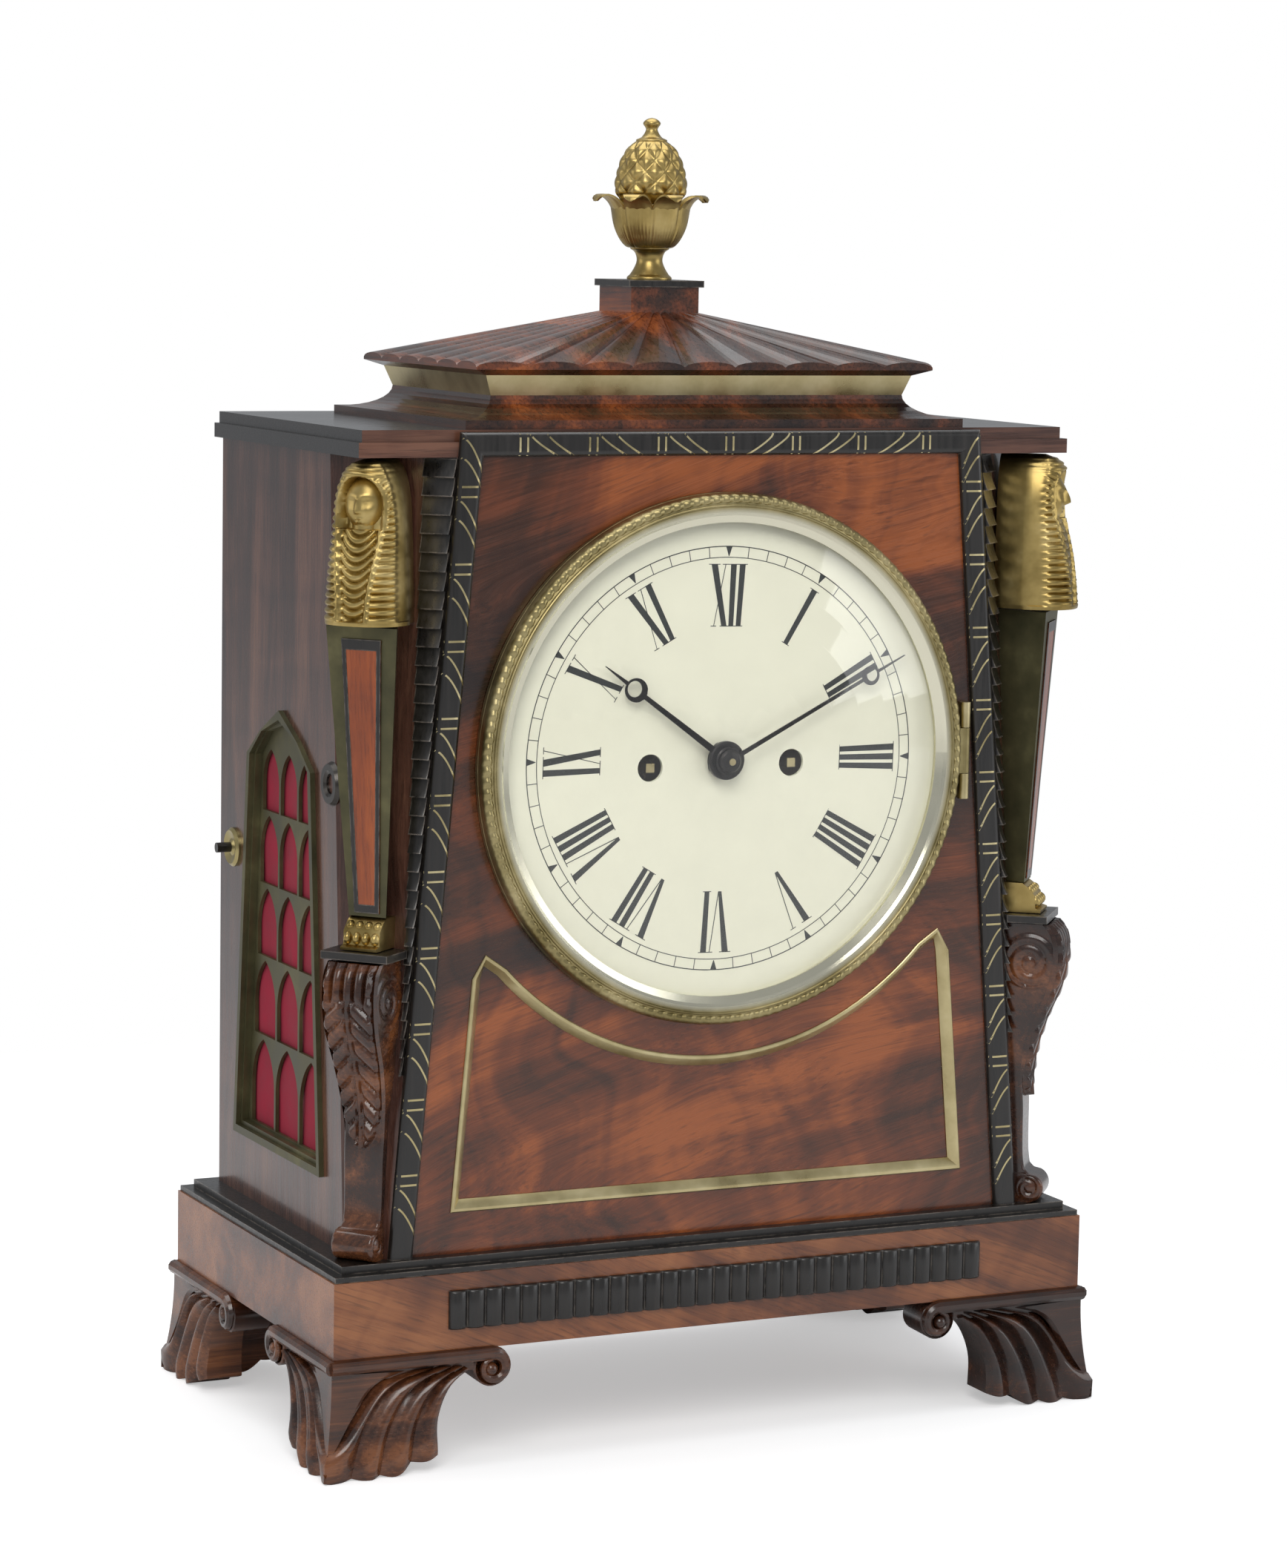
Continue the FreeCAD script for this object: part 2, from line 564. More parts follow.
def ripple_strips():
    """Ebonised wedges of small upright-stacked hollows beside the front border."""
    def left_strip():
        def section(z, width, rise):
            inner = V(-mask_half(z), -float(S.case_front), z)
            outer = V(-float(CASE_HALF), side_front(z), z)
            along = (outer - inner).normalize()
            out = V(-along.y, along.x, 0)
            if out.y > 0:
                out = out * -1
            corners = [inner, inner + along * width, inner + along * width + out * rise, inner + out * rise]
            return [tuple(corner) for corner in corners]
        foot, top = float(S.ripple_foot), float(CASE_TOP)
        return loft(section(foot, float(S.ripple_width_foot), float(S.ripple_rise)),
                    section(top, float(S.ripple_width_top), float(S.ripple_rise)))
    return sides(left_strip)


def case():
    keep(side_panel(True), "side_panel_left")
    keep(side_panel(False), "side_panel_right")
    left, right = corner_boards()
    keep(group(feature(left), feature(right)), "corner_boards")
    keep(front_mask(), "front_mask")
    keep(feature(panel_moulding()), "panel_moulding")
    keep(group(*border()), "front_border")
    keep(group(*[feature(strip) for strip in ripple_strips()]), "ripple_strips")


# ---------------------------------------------------------------- side windows
def face_on_side(points, left, depth_from, depth_to):
    """A prism of y, z points between two depths behind the case's outer face."""
    half = float(CASE_HALF)
    sign = -1 if left else 1
    x0, x1 = sign * (half - depth_from), sign * (half - depth_to)
    return Part.Face(polygon([(x0, float(y), float(z)) for y, z in points])).extrude(V(x1 - x0, 0, 0))


def lancet(y0, y1, z0, z1):
    """A pointed opening: straight sides and two arcs that meet at the top."""
    middle, spring = (y0 + y1) / 2, z1 - (y1 - y0) * 0.85
    spring = max(spring, z0 + 2)
    bow = (y1 - y0) * 0.11
    points = [(0, y0, z0), (0, y1, z0), (0, y1, spring), (0, middle, z1), (0, y0, spring)]
    rise = (spring + z1) / 2
    bends = {2: (0, (y1 + middle) / 2 + bow, rise + bow), 3: (0, (y0 + middle) / 2 - bow, rise + bow)}
    return Part.Face(edges_into(points, bends))


def side_fret(left):
    """A moulded brass frame with a sheet of pointed tracery in three bays."""
    rise, inset, sheet = float(S.window_frame_rise), float(S.fret_inset), float(S.fret_board)
    width, bar = float(S.window_frame), float(S.fret_bar)
    outer = window_outline(float(width))
    ring = face_on_side(outer, left, -rise, 0).cut(face_on_side(window_outline(), left, -rise - 1, 1))
    plate_in = face_on_side(window_outline(-0.05), left, 0, inset + sheet)
    liner = plate_in.cut(face_on_side(window_outline(-float(S.fret_bar)), left, -1, inset + sheet + 1))
    sheet_solid = face_on_side(window_outline(-0.05), left, inset, inset + sheet)
    foot, shoulder = float(S.window_foot), float(S.window_shoulder)
    levels = [foot + bar, foot + 42, foot + 77, foot + 109, foot + 141, shoulder + 4]
    centre = float(S.window_centre)
    cuts = []
    for z0, z1 in zip(levels, levels[1:]):
        half = at_height(float(S.window_foot_half), float(S.window_shoulder_half), foot, shoulder, z1) - bar
        bay = 2 * half / 3
        for index in range(3):
            y0 = centre - half + index * bay
            cuts.append(lancet(y0 + bar / 2, y0 + bay - bar / 2, z0 + bar / 2, z1 - bar / 2))
    sign = -1 if left else 1
    x0 = sign * (float(CASE_HALF) + 1)
    for opening in cuts:
        opening.translate(V(x0, 0, 0))
        sheet_solid = sheet_solid.cut(opening.extrude(V(-sign * (inset + sheet + 2), 0, 0)))
    return ring.fuse(liner).fuse(sheet_solid).removeSplitter()


def windows():
    cloths = []
    for left, name in ((True, "left"), (False, "right")):
        keep(feature(side_fret(left)), f"side_fret_{name}")
        back = float(S.fret_inset) + float(S.fret_board)
        cloths.append(feature(face_on_side(window_outline(-0.2), left, back, back + float(S.cloth_board))))
    keep(group(*cloths), "side_cloths")


# ---------------------------------------------------------------- top board, roof and finial
def stepped_block(rows, centre_y):
    """A rectangular moulding all round a block: rows are half width, half depth and height."""
    sections = []
    for half, depth, z in rows:
        sections.append([(-half, centre_y - depth, z), (half, centre_y - depth, z), (half, centre_y + depth, z),
                         (-half, centre_y + depth, z)])
    return loft(*sections)


def cove_rows():
    """The hollow between the fillet and the band: a quarter curve, steep at the top."""
    steps = 8
    rows = []
    start = TOP_BOARD_TOP + S.fillet_height
    for step in range(steps + 1):
        turn = math.pi / 2 * step / steps
        inward, upward = math.sin(turn), 1 - math.cos(turn)
        half = float(S.fillet_half - S.cove_inset)
        depth = float(S.fillet_half_depth - S.cove_inset)
        rows.append((half + (float(S.band_foot_half) - half) * inward,
                     depth + (float(S.band_foot_half_depth) - depth) * inward,
                     float(start) + float(S.cove_height) * upward))
    return rows


def oblong(half, front, rear, z):
    """A level rectangle, as the corners of a section."""
    return [(-half, front, z), (half, front, z), (half, rear, z), (-half, rear, z)]


def lobed_slope(eave, crest, count):
    """One slope of the roof: convex lobes that narrow from the eave to the crest."""
    shares = [0.0, 0.06, 0.18, 0.34, 0.5, 0.66, 0.82, 0.94]

    def scalloped(ends, rise, depth):
        first, last = V(*ends[0]), V(*ends[1])
        points = []
        for index in range(count):
            for share in shares:
                lift = rise * (4 * share * (1 - share)) ** 0.55
                points.append(first + (last - first) * ((index + share) / count) + UP * lift)
        points += [last, last - UP * depth, first - UP * depth]
        return [tuple(point) for point in points]

    edge = float(S.eave_edge)
    return loft(scalloped(eave, float(S.lobe_rise), edge), scalloped(crest, float(S.lobe_rise_crest), edge * 2))


def roof():
    """A low hipped roof of convex lobes that meet under the block, on a core inside the band."""
    centre, sheet = float(S.roof_centre), float(S.band_sheet)
    core = stepped_block([(float(S.band_foot_half) - sheet, float(S.band_foot_half_depth) - sheet, float(BAND_FOOT)),
                          (float(S.band_top_half) - sheet, float(S.band_top_half_depth) - sheet, float(BAND_TOP))],
                         centre)
    half, depth, block = float(S.eave_half), float(S.eave_half_depth), float(S.block_half)
    low, high = float(BAND_TOP), float(BAND_TOP + S.eave_height)
    top, block_y = float(BLOCK_FOOT), float(S.finial_y)
    under, edge = float(S.band_top_half), float(S.eave_edge)
    eave = oblong(half, centre - depth, centre + depth, high)
    crest = oblong(block, block_y - block, block_y + block, top)
    hip = loft(oblong(under, centre - float(S.band_top_half_depth), centre + float(S.band_top_half_depth), low),
               [(x, y, high - edge) for x, y, _ in eave], eave, crest)
    slopes = []
    for here, count in enumerate((S.lobes_front, S.lobes_side, S.lobes_front, S.lobes_side)):
        following = (here + 1) % 4
        slopes.append(lobed_slope((eave[here], eave[following]), (crest[here], crest[following]), int(count.value)))
    return core.fuse([hip] + slopes).removeSplitter()


def finial_pieces():
    x, y, foot = 0, S.finial_y, FINIAL_FOOT
    socle = [(0, 0), (9.7, 0), (9.0, 2.0), (6.8, 4.6), (5.7, 7.9), (6.4, 11.4), (8.1, S.socle_height),
             (9.9, S.socle_height + 0.8), (13.4, S.cup_height - 12.4), (16.0, S.cup_height - 7.0),
             (S.cup_radius, S.cup_height), (0, S.cup_height)]
    keep(turned(socle, x, y, foot), "finial_socle")
    base = S.cup_height + S.petal_sheet
    cone = S.cone_radius
    seat = S.cup_radius * 0.53
    pine = [(0, S.cup_height), (seat, S.cup_height), (seat, base), (cone * 0.79, base), (cone, base + 5),
            (cone * 0.99, base + 8.7), (cone * 0.89, base + 12.5), (cone * 0.74, base + 18.6),
            (cone * 0.43, base + 27.2), (S.neck_radius, S.cone_height), (S.neck_radius, S.cone_height + 1.4),
            (S.knob_radius, S.cone_height + 3.4), (S.knob_radius * 0.95, S.finial_height - 2.2),
            (S.knob_radius * 0.5, S.finial_height - 0.4), (0, S.finial_height)]
    keep(turned(pine, x, y, foot), "finial_pineapple")
    keep(feature(petals(float(seat) + 0.05)), "finial_petals")


def petals(inner):
    """Separate leaves clamped between the cup and the cone, curling outward."""
    sheet, rim, reach = float(S.petal_sheet), float(S.cup_radius), float(S.petal_reach)
    low = float(S.cup_height)
    crest = low + float(S.petal_rise)
    middle = (rim + reach) / 2
    section = [(inner, 0, low), (rim, 0, low), (middle, 0, crest - 2.6), (reach, 0, crest - 2.2),
               (reach - 0.6, 0, crest - 0.6), (middle, 0, crest), (rim - 1.2, 0, low + sheet + 0.9),
               (rim * 0.7, 0, low + sheet), (inner, 0, low + sheet)]
    count = int(S.petal_count.value)
    share = 360 / count
    leaf = Part.Face(polygon(section)).revolve(V(), UP, share * 0.82)
    taper = extrude([(0, 0, low - 2), (reach * 1.2, -reach * 0.33, low - 2), (reach * 1.2, reach * 0.33, low - 2)],
                    (0, 0, crest))
    taper.rotate(V(), UP, share * 0.41)
    leaf = leaf.common(taper)
    leaves = []
    for index in range(count):
        turned_leaf = leaf.copy()
        turned_leaf.rotate(V(), UP, share * (index + 0.09))
        turned_leaf.translate(V(0, float(S.finial_y), float(FINIAL_FOOT)))
        leaves.append(turned_leaf)
    return Part.makeCompound(leaves)


def top_and_roof():
    back = S.case_back + S.top_back_overhang
    lower = box(-S.top_lower_half, S.top_lower_half, -S.case_front, back, CASE_TOP, CASE_TOP + S.top_lower_height)
    upper = box(-S.top_upper_half, S.top_upper_half, -S.top_upper_front, back, CASE_TOP + S.top_lower_height,
                TOP_BOARD_TOP)
    keep(fuse(lower, upper), "top_board")
    centre = float(S.roof_centre)
    fillet = [(float(S.fillet_half), float(S.fillet_half_depth), float(TOP_BOARD_TOP)),
              (float(S.fillet_half), float(S.fillet_half_depth), float(TOP_BOARD_TOP + S.fillet_height))]
    keep(feature(stepped_block(fillet, centre).fuse(stepped_block(cove_rows(), centre)).removeSplitter()), "roof_cove")
    rows = [(float(S.band_foot_half), float(S.band_foot_half_depth), float(BAND_FOOT)),
            (float(S.band_top_half), float(S.band_top_half_depth), float(BAND_TOP))]
    sheet = float(S.band_sheet)
    hollow = [(half - sheet, depth - sheet, z) for half, depth, z in rows]
    keep(feature(stepped_block(rows, centre).cut(stepped_block(hollow, centre))), "brass_band")
    keep(feature(roof()), "roof")
    half = S.block_half
    keep(box(-half, half, S.finial_y - half, S.finial_y + half, BLOCK_FOOT, BLOCK_TOP), "finial_block")
    cap = S.block_cap_half
    keep(box(-cap, cap, S.finial_y - cap, S.finial_y + cap, BLOCK_TOP, FINIAL_FOOT), "finial_block_cap")
    finial_pieces()


# ---------------------------------------------------------------- herms and corbels
ENVELOPE = case_envelope()
RIPPLES = ripple_strips()


def on_corner(shape, left=True):
    """Bring a piece from its own frame, facing -Y at the origin, to a front corner of the case."""
    side = -1 if left else 1
    placed = shape.copy()
    placed.rotate(V(), UP, side * float(S.herm_turn))
    placed.translate(V(side * float(S.herm_x), float(S.herm_y), 0))
    return placed


def planed(shape, left=True):
    """A piece on a front corner, its back planed to the case and the ripple strip."""
    rest = on_corner(shape, left).cut([ENVELOPE, RIPPLES[0 if left else 1]])
    return max(rest.Solids, key=lambda solid: solid.Volume)


BACK = 14.0


def tapered(low, high, undercut=0.0):
    """A block between two levels: each is half width, how far it reaches back and forward, and height."""
    sections = []
    for half, back, front, z in (low, high):
        rear = half - undercut * (back + front)
        sections.append([(-half, -front, z), (half, -front, z), (rear, back, z), (-rear, back, z)])
    return loft(*sections)


def herm_body():
    """The tapering shaft of a herm, its sides undercut."""
    return tapered((float(S.herm_half_foot), -1.0, float(S.herm_face_foot), float(S.herm_foot)),
                   (float(S.herm_half_top), 5.0, float(S.herm_face_top), float(S.herm_top)), float(S.herm_undercut))


def herm_inlay():
    """The wooden panel let into the face of a herm."""
    z0, z1 = float(S.herm_foot) + 1.5, float(S.herm_top) - 5.0
    depths = []
    for z in (z0, z1):
        depths.append(at_height(float(S.herm_face_foot), float(S.herm_face_top), float(S.herm_foot),
                                float(S.herm_top), z))
    rise, sink = float(S.herm_inlay_rise), 2.0
    return tapered((float(S.herm_inlay_half_foot), sink - depths[0], depths[0] + rise, z0),
                   (float(S.herm_inlay_half_top), sink - depths[1], depths[1] + rise, z1))


def herm_head():
    """A head in a striped headcloth over a draped breast: rounded block forms."""
    half, foot, top = float(S.head_half), float(S.herm_top), float(S.head_top)
    front, crown = float(S.head_front), float(S.head_crown_front)
    rows = [(foot, 0.0, half, front - 1.5), (foot + 18, 0.0, half, front), (foot + 30, 0.0, half * 1.02, front - 7),
            (foot + 44, 0.0, half * 1.04, front - 7.5), (foot + 56, 0.0, half * 0.92, front - 7.5),
            (foot + 63, 0.0, half * 0.66, crown), (top, 0.0, half * 0.3, crown - 5)]
    sections = []
    for z, _, wide, reach in rows:
        corner = wide * 0.42
        rear = wide - float(S.head_undercut) * (reach - corner)
        sections.append([(-rear, 0, z), (-wide, -reach + corner, z), (-wide + corner, -reach, z),
                         (wide - corner, -reach, z), (wide, -reach + corner, z), (rear, 0, z), (rear, BACK, z),
                         (-rear, BACK, z)])
    cloth = loft(*sections)
    face = Part.makeSphere(1.0)
    shape = FreeCAD.Matrix()
    shape.scale(8.6, 7.5, 12.0)
    face = face.transformGeometry(shape)
    face.translate(V(0, -(front - 8.2), foot + 41))
    return cloth.fuse(face)


def herm_feet():
    """Two bare feet side by side under the shaft, the toes forward."""
    half, foot, top = float(S.feet_half), float(S.feet_foot), float(S.herm_foot)
    front = float(S.feet_front)
    step = float(S.abacus_foot + S.abacus_height)
    outline = [(0, BACK, step), (0, -front, step), (0, -front, foot + 2.2), (0, -front + 1.2, foot + 4),
               (0, -front + 7, top), (0, BACK, top)]
    block = extrude([(-half, y, z) for _, y, z in outline], (2 * half, 0, 0))
    split = Part.makeBox(0.8, 8, top - step, V(-0.4, -front - 1, step + 0.6))
    return block.cut(split)


def corbel():
    """An S-scroll bracket: a leafed bulge above, a plain shaft, and a small roll at the foot."""
    top, foot = float(S.abacus_foot), float(CASE_FOOT)
    front, shaft, roll = float(S.corbel_front), float(S.corbel_shaft_front), float(S.corbel_roll_front)
    radius = float(S.corbel_roll_radius)
    outline = [(0, BACK, foot), (0, -roll + radius, foot), (0, -roll + radius, foot + 2 * radius - 1),
               (0, -shaft, foot + 2 * radius + 3), (0, -shaft, foot + 54), (0, -front + 6.5, foot + 90),
               (0, -front + 3.5, top), (0, BACK, top)]
    bends = {1: (0, -roll, foot + radius - 0.5), 4: (0, -shaft - 3.6, foot + 74), 5: (0, -front, top - 15)}
    profile = Part.Face(edges_into(outline, bends)).extrude(V(2 * float(S.corbel_half_top), 0, 0))
    profile.translate(V(-float(S.corbel_half_top), 0, 0))
    half_top, half_shaft, half_roll = float(S.corbel_half_top), float(S.corbel_half_shaft), float(S.corbel_roll_half)
    plan = [(-half_roll, -front - 2, foot), (half_roll, -front - 2, foot), (half_roll, -front - 2, foot + 2 * radius),
            (half_shaft - 1, -front - 2, foot + 2 * radius + 1), (half_shaft, -front - 2, foot + 58),
            (half_top, -front - 2, foot + 96), (half_top, -front - 2, top)]
    plan += [(-x, y, z) for x, y, z in reversed(plan[2:])]
    return profile.common(extrude(plan, (0, front + 4 + BACK, 0)))


def corners():
    abacus_half, abacus_front = float(S.abacus_half), float(S.abacus_front)
    abacus = Part.makeBox(2 * abacus_half, abacus_front + BACK, float(S.abacus_height),
                          V(-abacus_half, -abacus_front, float(S.abacus_foot)))
    inlay = herm_inlay()
    forms = {"herm_bodies": herm_body(), "herm_heads": herm_head(), "herm_feet": herm_feet(), "corbels": corbel(),
             "corbel_caps": abacus}
    for name, form in forms.items():
        pair = []
        for left in (True, False):
            placed = planed(form, left)
            pair.append(feature(placed.cut(on_corner(inlay, left)) if name == "herm_bodies" else placed))
        keep(group(*pair), name)
    keep(group(*[feature(on_corner(inlay, left)) for left in (True, False)]), "herm_inlays")


# ---------------------------------------------------------------- dial, bezel and hands
DIAL_FACE = S.case_front + S.dial_proud


def dial():
    """The dial sheet with its winding holes and the four feet that pin it to the movement."""
    sheet = rod("y", S.dial_radius, 0, -DIAL_FACE, S.dial_height, S.dial_sheet)
    holes = [rod("y", S.centre_hole, 0, -DIAL_FACE - 1, S.dial_height, S.dial_sheet + 2)]
    for side in (-1, 1):
        holes.append(rod("y", S.winding_hole, side * S.winding_offset, -DIAL_FACE - 1,
                         S.dial_height - S.winding_drop, S.dial_sheet + 2))
    plate = cut(sheet, fuse(*holes))
    back = -DIAL_FACE + S.dial_sheet
    posts = []
    for side in (-1, 1):
        for rise in (-1, 1):
            posts.append(rod("y", 2.0, side * (S.plate_half - S.dial_post_inset), back,
                             S.dial_height + rise * (S.plate_height / 2 - S.dial_post_drop),
                             S.front_plate_back - S.plate_sheet - back))
    return fuse(plate, *posts)


def bezel():
    """The hinged brass bezel: a stepped ring with a milled round and a sloping sight."""
    back = -S.case_front - S.bezel_gap
    front = back - S.bezel_depth
    outer, lip, sight = S.bezel_radius, S.lip_radius, S.sight_radius
    seat = S.glass_radius + S.glass_play
    ledge = back - S.glass_seat - S.glass_sheet - S.glass_play
    ring = [(outer, back), (outer, back - 2.6), (outer - 1.4, back - 4.2), (outer - 2.6, back - 4.6),
            (outer - 3.4, front + 1.0), (outer - 5.6, front), (lip + 1.2, front + 0.2), (lip, front + 1.2),
            (sight, ledge - 0.8), (sight, ledge), (seat, ledge), (seat, back)]
    body = turned_flat(ring, 0, S.dial_height)
    low = S.dial_height - S.hinge_height / 2
    knuckle_low = low + S.hinge_height * 0.26 + S.knuckle_gap
    knuckle = S.hinge_height * 0.48 - S.knuckle_gap * 2
    pin_y = -S.case_front - S.hinge_out
    barrel = rod("z", S.hinge_radius, S.hinge_x, pin_y, knuckle_low, knuckle)
    arm = box(S.bezel_radius - 1.2, S.hinge_x, pin_y - S.hinge_radius * 0.8, pin_y + S.hinge_radius * 0.8,
              knuckle_low, knuckle_low + knuckle)
    bore = rod("z", S.pin_radius + S.pin_play, S.hinge_x, pin_y, knuckle_low - 1, knuckle + 2)
    return cut(fuse(body, barrel, arm), bore)


def bezel_hinge():
    """The fixed half of the bezel's hinge, with its pin."""
    low = S.dial_height - S.hinge_height / 2
    ear = S.hinge_height * 0.26
    pin_y = -S.case_front - S.hinge_out
    parts = [rod("z", S.pin_radius, S.hinge_x, pin_y, low, S.hinge_height)]
    for start in (low, low + S.hinge_height - ear):
        parts.append(rod("z", S.hinge_radius, S.hinge_x, pin_y, start, ear))
        parts.append(box(S.hinge_x - S.hinge_radius * 0.7, S.hinge_x + S.hinge_radius * 0.7, pin_y, -S.case_front,
                         start, start + ear))
    return fuse(*parts)


def glass():
    """A convex glass held in the back of the bezel."""
    edge = -S.case_front - S.bezel_gap - S.glass_seat
    steps = 8
    inner, outer = [], []
    for step in range(1, steps + 1):
        share = step / steps
        dish = S.glass_rise * (1 - share ** 2 if step > 1 else 1)
        inner.append((S.glass_radius * share, edge - dish))
        outer.append((S.glass_radius * share, edge - dish - S.glass_sheet))
    crown = [(0, edge - S.glass_rise - S.glass_sheet)] + outer + inner[::-1] + [(0, edge - S.glass_rise)]
    return turned_flat(crown, 0, S.dial_height)


def hand(length, boss, ring_at, ring, back, width, droop, boss_depth):
    """A hand pointing up: a turned boss, and a slim blade with a moon ring and a needle tip, bowed to the dial."""
    sheet = float(S.hand_sheet)
    root, neck = width / 2, width * 0.32
    start = boss * 0.55
    blade = extrude([(-root, 0, start), (root, 0, start), (neck, 0, ring_at), (-neck, 0, ring_at)], (0, sheet, 0))
    needle = extrude([(-neck, 0, ring_at + ring * 0.7), (neck, 0, ring_at + ring * 0.7), (0.15, 0, length),
                      (-0.15, 0, length)], (0, sheet, 0))
    moon = Part.makeCylinder(ring, sheet, V(0, 0, ring_at), V(0, 1, 0))
    hole = Part.makeCylinder(ring * 0.67, sheet * 3, V(0, -sheet, ring_at + ring * 0.18), V(0, 1, 0))
    arm = blade.fuse([needle, moon]).cut(hole)
    arm.rotate(V(0, sheet / 2, 0), V(1, 0, 0), -math.degrees(math.atan(droop / length)))
    profile = [(0, 0), (boss * 0.9, 0), (boss, sheet * 0.5), (boss, boss_depth * 0.5), (boss * 0.86, boss_depth),
               (0, boss_depth)]
    disc = Part.Face(Part.makePolygon([V(r, y, 0) for r, y in profile + profile[:1]])).revolve(V(), V(0, 1, 0), 360)
    whole = disc.fuse(arm).removeSplitter()
    whole.translate(V(0, back - sheet, 0))
    return whole


def pointed(shape, minutes):
    """Turn a hand from twelve, in minutes of the dial."""
    turned_hand = shape.copy()
    turned_hand.rotate(V(), V(0, 1, 0), minutes * 6)
    turned_hand.translate(V(0, 0, float(S.dial_height)))
    return turned_hand


# ---------------------------------------------------------------- movement
FRONT_PLATE = S.front_plate_back - S.plate_sheet
BACK_PLATE = S.front_plate_back + S.plate_gap
BELL_Y = BACK_PLATE - S.bell_in
WIND_Z = S.dial_height - S.winding_drop
SHOWN_MINUTES = 10.4
SHOWN_HOUR = 10.0
DIAL_TURN = 1.18 / 6


def toothed(teeth, radius, size, thick, phase):
    """A toothed wheel in the XZ plane from y = 0: phase is the angle of one tooth, anticlockwise."""
    points = []
    pitch = 2 * math.pi / teeth
    tip, root = radius + 0.5 * size, radius - 1.0 * size
    for index in range(teeth):
        middle = phase + index * pitch
        for offset, reach in ((-0.2, root), (-0.12, tip), (0.12, tip), (0.2, root)):
            angle = middle + offset * pitch
            points.append((reach * math.cos(angle), 0, reach * math.sin(angle)))
    return extrude(points, (0, thick, 0))


def meshed(teeth, leaves, size, start, end):
    """The tooth phases of two wheels in mesh, from their centres."""
    angle = math.atan2(end[1] - start[1], end[0] - start[0])
    return angle, angle + math.pi + math.pi / leaves


def arbor_along_y(radius, x, z, y0, y1):
    return Part.makeCylinder(radius, y1 - y0, V(x, y0, z), V(0, 1, 0))


def moved(shape, x, y, z):
    placed = shape.copy()
    placed.translate(V(x, y, z))
    return placed


def spoked(teeth, radius, size, thick, phase, spokes=4):
    """A wheel with its web crossed out."""
    wheel = toothed(teeth, radius, size, thick, phase)
    rim, hub = radius - 1.0 * size - 2.4, max(4.0, radius * 0.24)
    ring = Part.makeCylinder(rim, thick * 3, V(0, -thick, 0), V(0, 1, 0))
    ring = ring.cut(Part.makeCylinder(hub, thick * 3, V(0, -thick, 0), V(0, 1, 0)))
    for index in range(spokes):
        bar = Part.makeBox(2.4, thick * 5, 2 * radius, V(-1.2, -2 * thick, 0))
        bar.rotate(V(), V(0, 1, 0), 360 * index / spokes)
        ring = ring.cut(bar)
    return wheel.cut(ring)


def train_places():
    """Centres of the going train, from the tooth counts and modules."""
    centre = (0.0, float(S.dial_height))
    reach = float(S.centre_module) * float(S.centre_teeth + S.third_leaves) / 2
    side = float(S.third_side)
    third = (-side, centre[1] + math.sqrt(reach ** 2 - side ** 2))
    reach = float(S.third_module) * float(S.third_teeth + S.escape_leaves) / 2
    escape = (0.0, third[1] + math.sqrt(reach ** 2 - side ** 2))
    pallets = (0.0, escape[1] + float(S.pallet_rise))
    return centre, third, escape, pallets


CENTRE, THIRD, ESCAPE, PALLETS = train_places()


def great_size():
    """The tooth size of the going great wheel, from its distance to the centre arbor."""
    reach = math.hypot(float(S.winding_offset), float(S.winding_drop))
    return 2 * reach / float(S.great_teeth + S.centre_leaves)


def fusee(side, teeth, size, phase):
    """A fusee: winding arbor with a square, grooved cone and great wheel."""
    x, z = side * float(S.winding_offset), float(WIND_Z)
    back = float(BACK_PLATE)
    great_y = back - float(S.great_back)
    wheel = moved(toothed(teeth, size * teeth / 2, size, float(S.great_sheet), phase), x, great_y, z)
    length, large, small = float(S.fusee_length), float(S.fusee_large), float(S.fusee_small)
    turns = int(S.fusee_turns.value)
    pitch = length / turns
    points = [(0, great_y, 0)]
    for index in range(turns):
        y0 = great_y - index * pitch
        r0 = large + (small - large) * math.sqrt(index / turns)
        points += [(r0, y0, 0), (r0 - 0.7, y0 - pitch * 0.5, 0)]
    points += [(small, great_y - length, 0), (0, great_y - length, 0)]
    cone = moved(Part.Face(polygon(points)).revolve(V(), V(0, 1, 0), 360), x, 0, z)
    front = float(FRONT_PLATE) - 0.5
    shaft = arbor_along_y(float(S.fusee_arbor), x, z, front, back + float(S.pivot))
    half = float(S.square) / 2
    square = Part.makeBox(2 * half, front + float(DIAL_FACE), 2 * half, V(x - half, -float(DIAL_FACE), z - half))
    return wheel.fuse([cone, shaft, square])


def strike_places():
    """Centres of the strike train: fusee, pin wheel, locking wheel and fly."""
    places = [(-float(S.winding_offset), float(WIND_Z))]
    steps = ((S.strike_teeth, S.pin_leaves, S.strike_module, 120.0), (S.pin_teeth, S.lock_leaves, S.pin_module, 61.0),
             (S.lock_teeth, S.fly_leaves, S.lock_module, 69.0))
    for teeth, leaves, size, turn in steps:
        reach = float(size) * float(teeth + leaves) / 2
        x, z = places[-1]
        places.append((x + reach * math.cos(math.radians(turn)), z + reach * math.sin(math.radians(turn))))
    return places


def strike_wheel(here, leaves, leaf_size, teeth, size, before, after, pinion_y, wheel_y):
    """A wheel of the strike train: a pinion, a crossed-out wheel and their arbor."""
    x, z = here
    phase = meshed(before[1], leaves, leaf_size, before[0], here)[1]
    pinion = moved(toothed(leaves, leaf_size * leaves / 2, leaf_size, 4.4, phase), x, pinion_y, z)
    wheel_phase = meshed(teeth, after[1], size, here, after[0])[0]
    wheel = moved(spoked(teeth, size * teeth / 2, size, 1.4, wheel_phase), x, wheel_y, z)
    shaft = arbor_along_y(float(S.slim_arbor), x, z, float(S.front_plate_back) - 1.5,
                          float(BACK_PLATE) + float(S.pivot))
    return pinion.fuse([wheel, shaft])


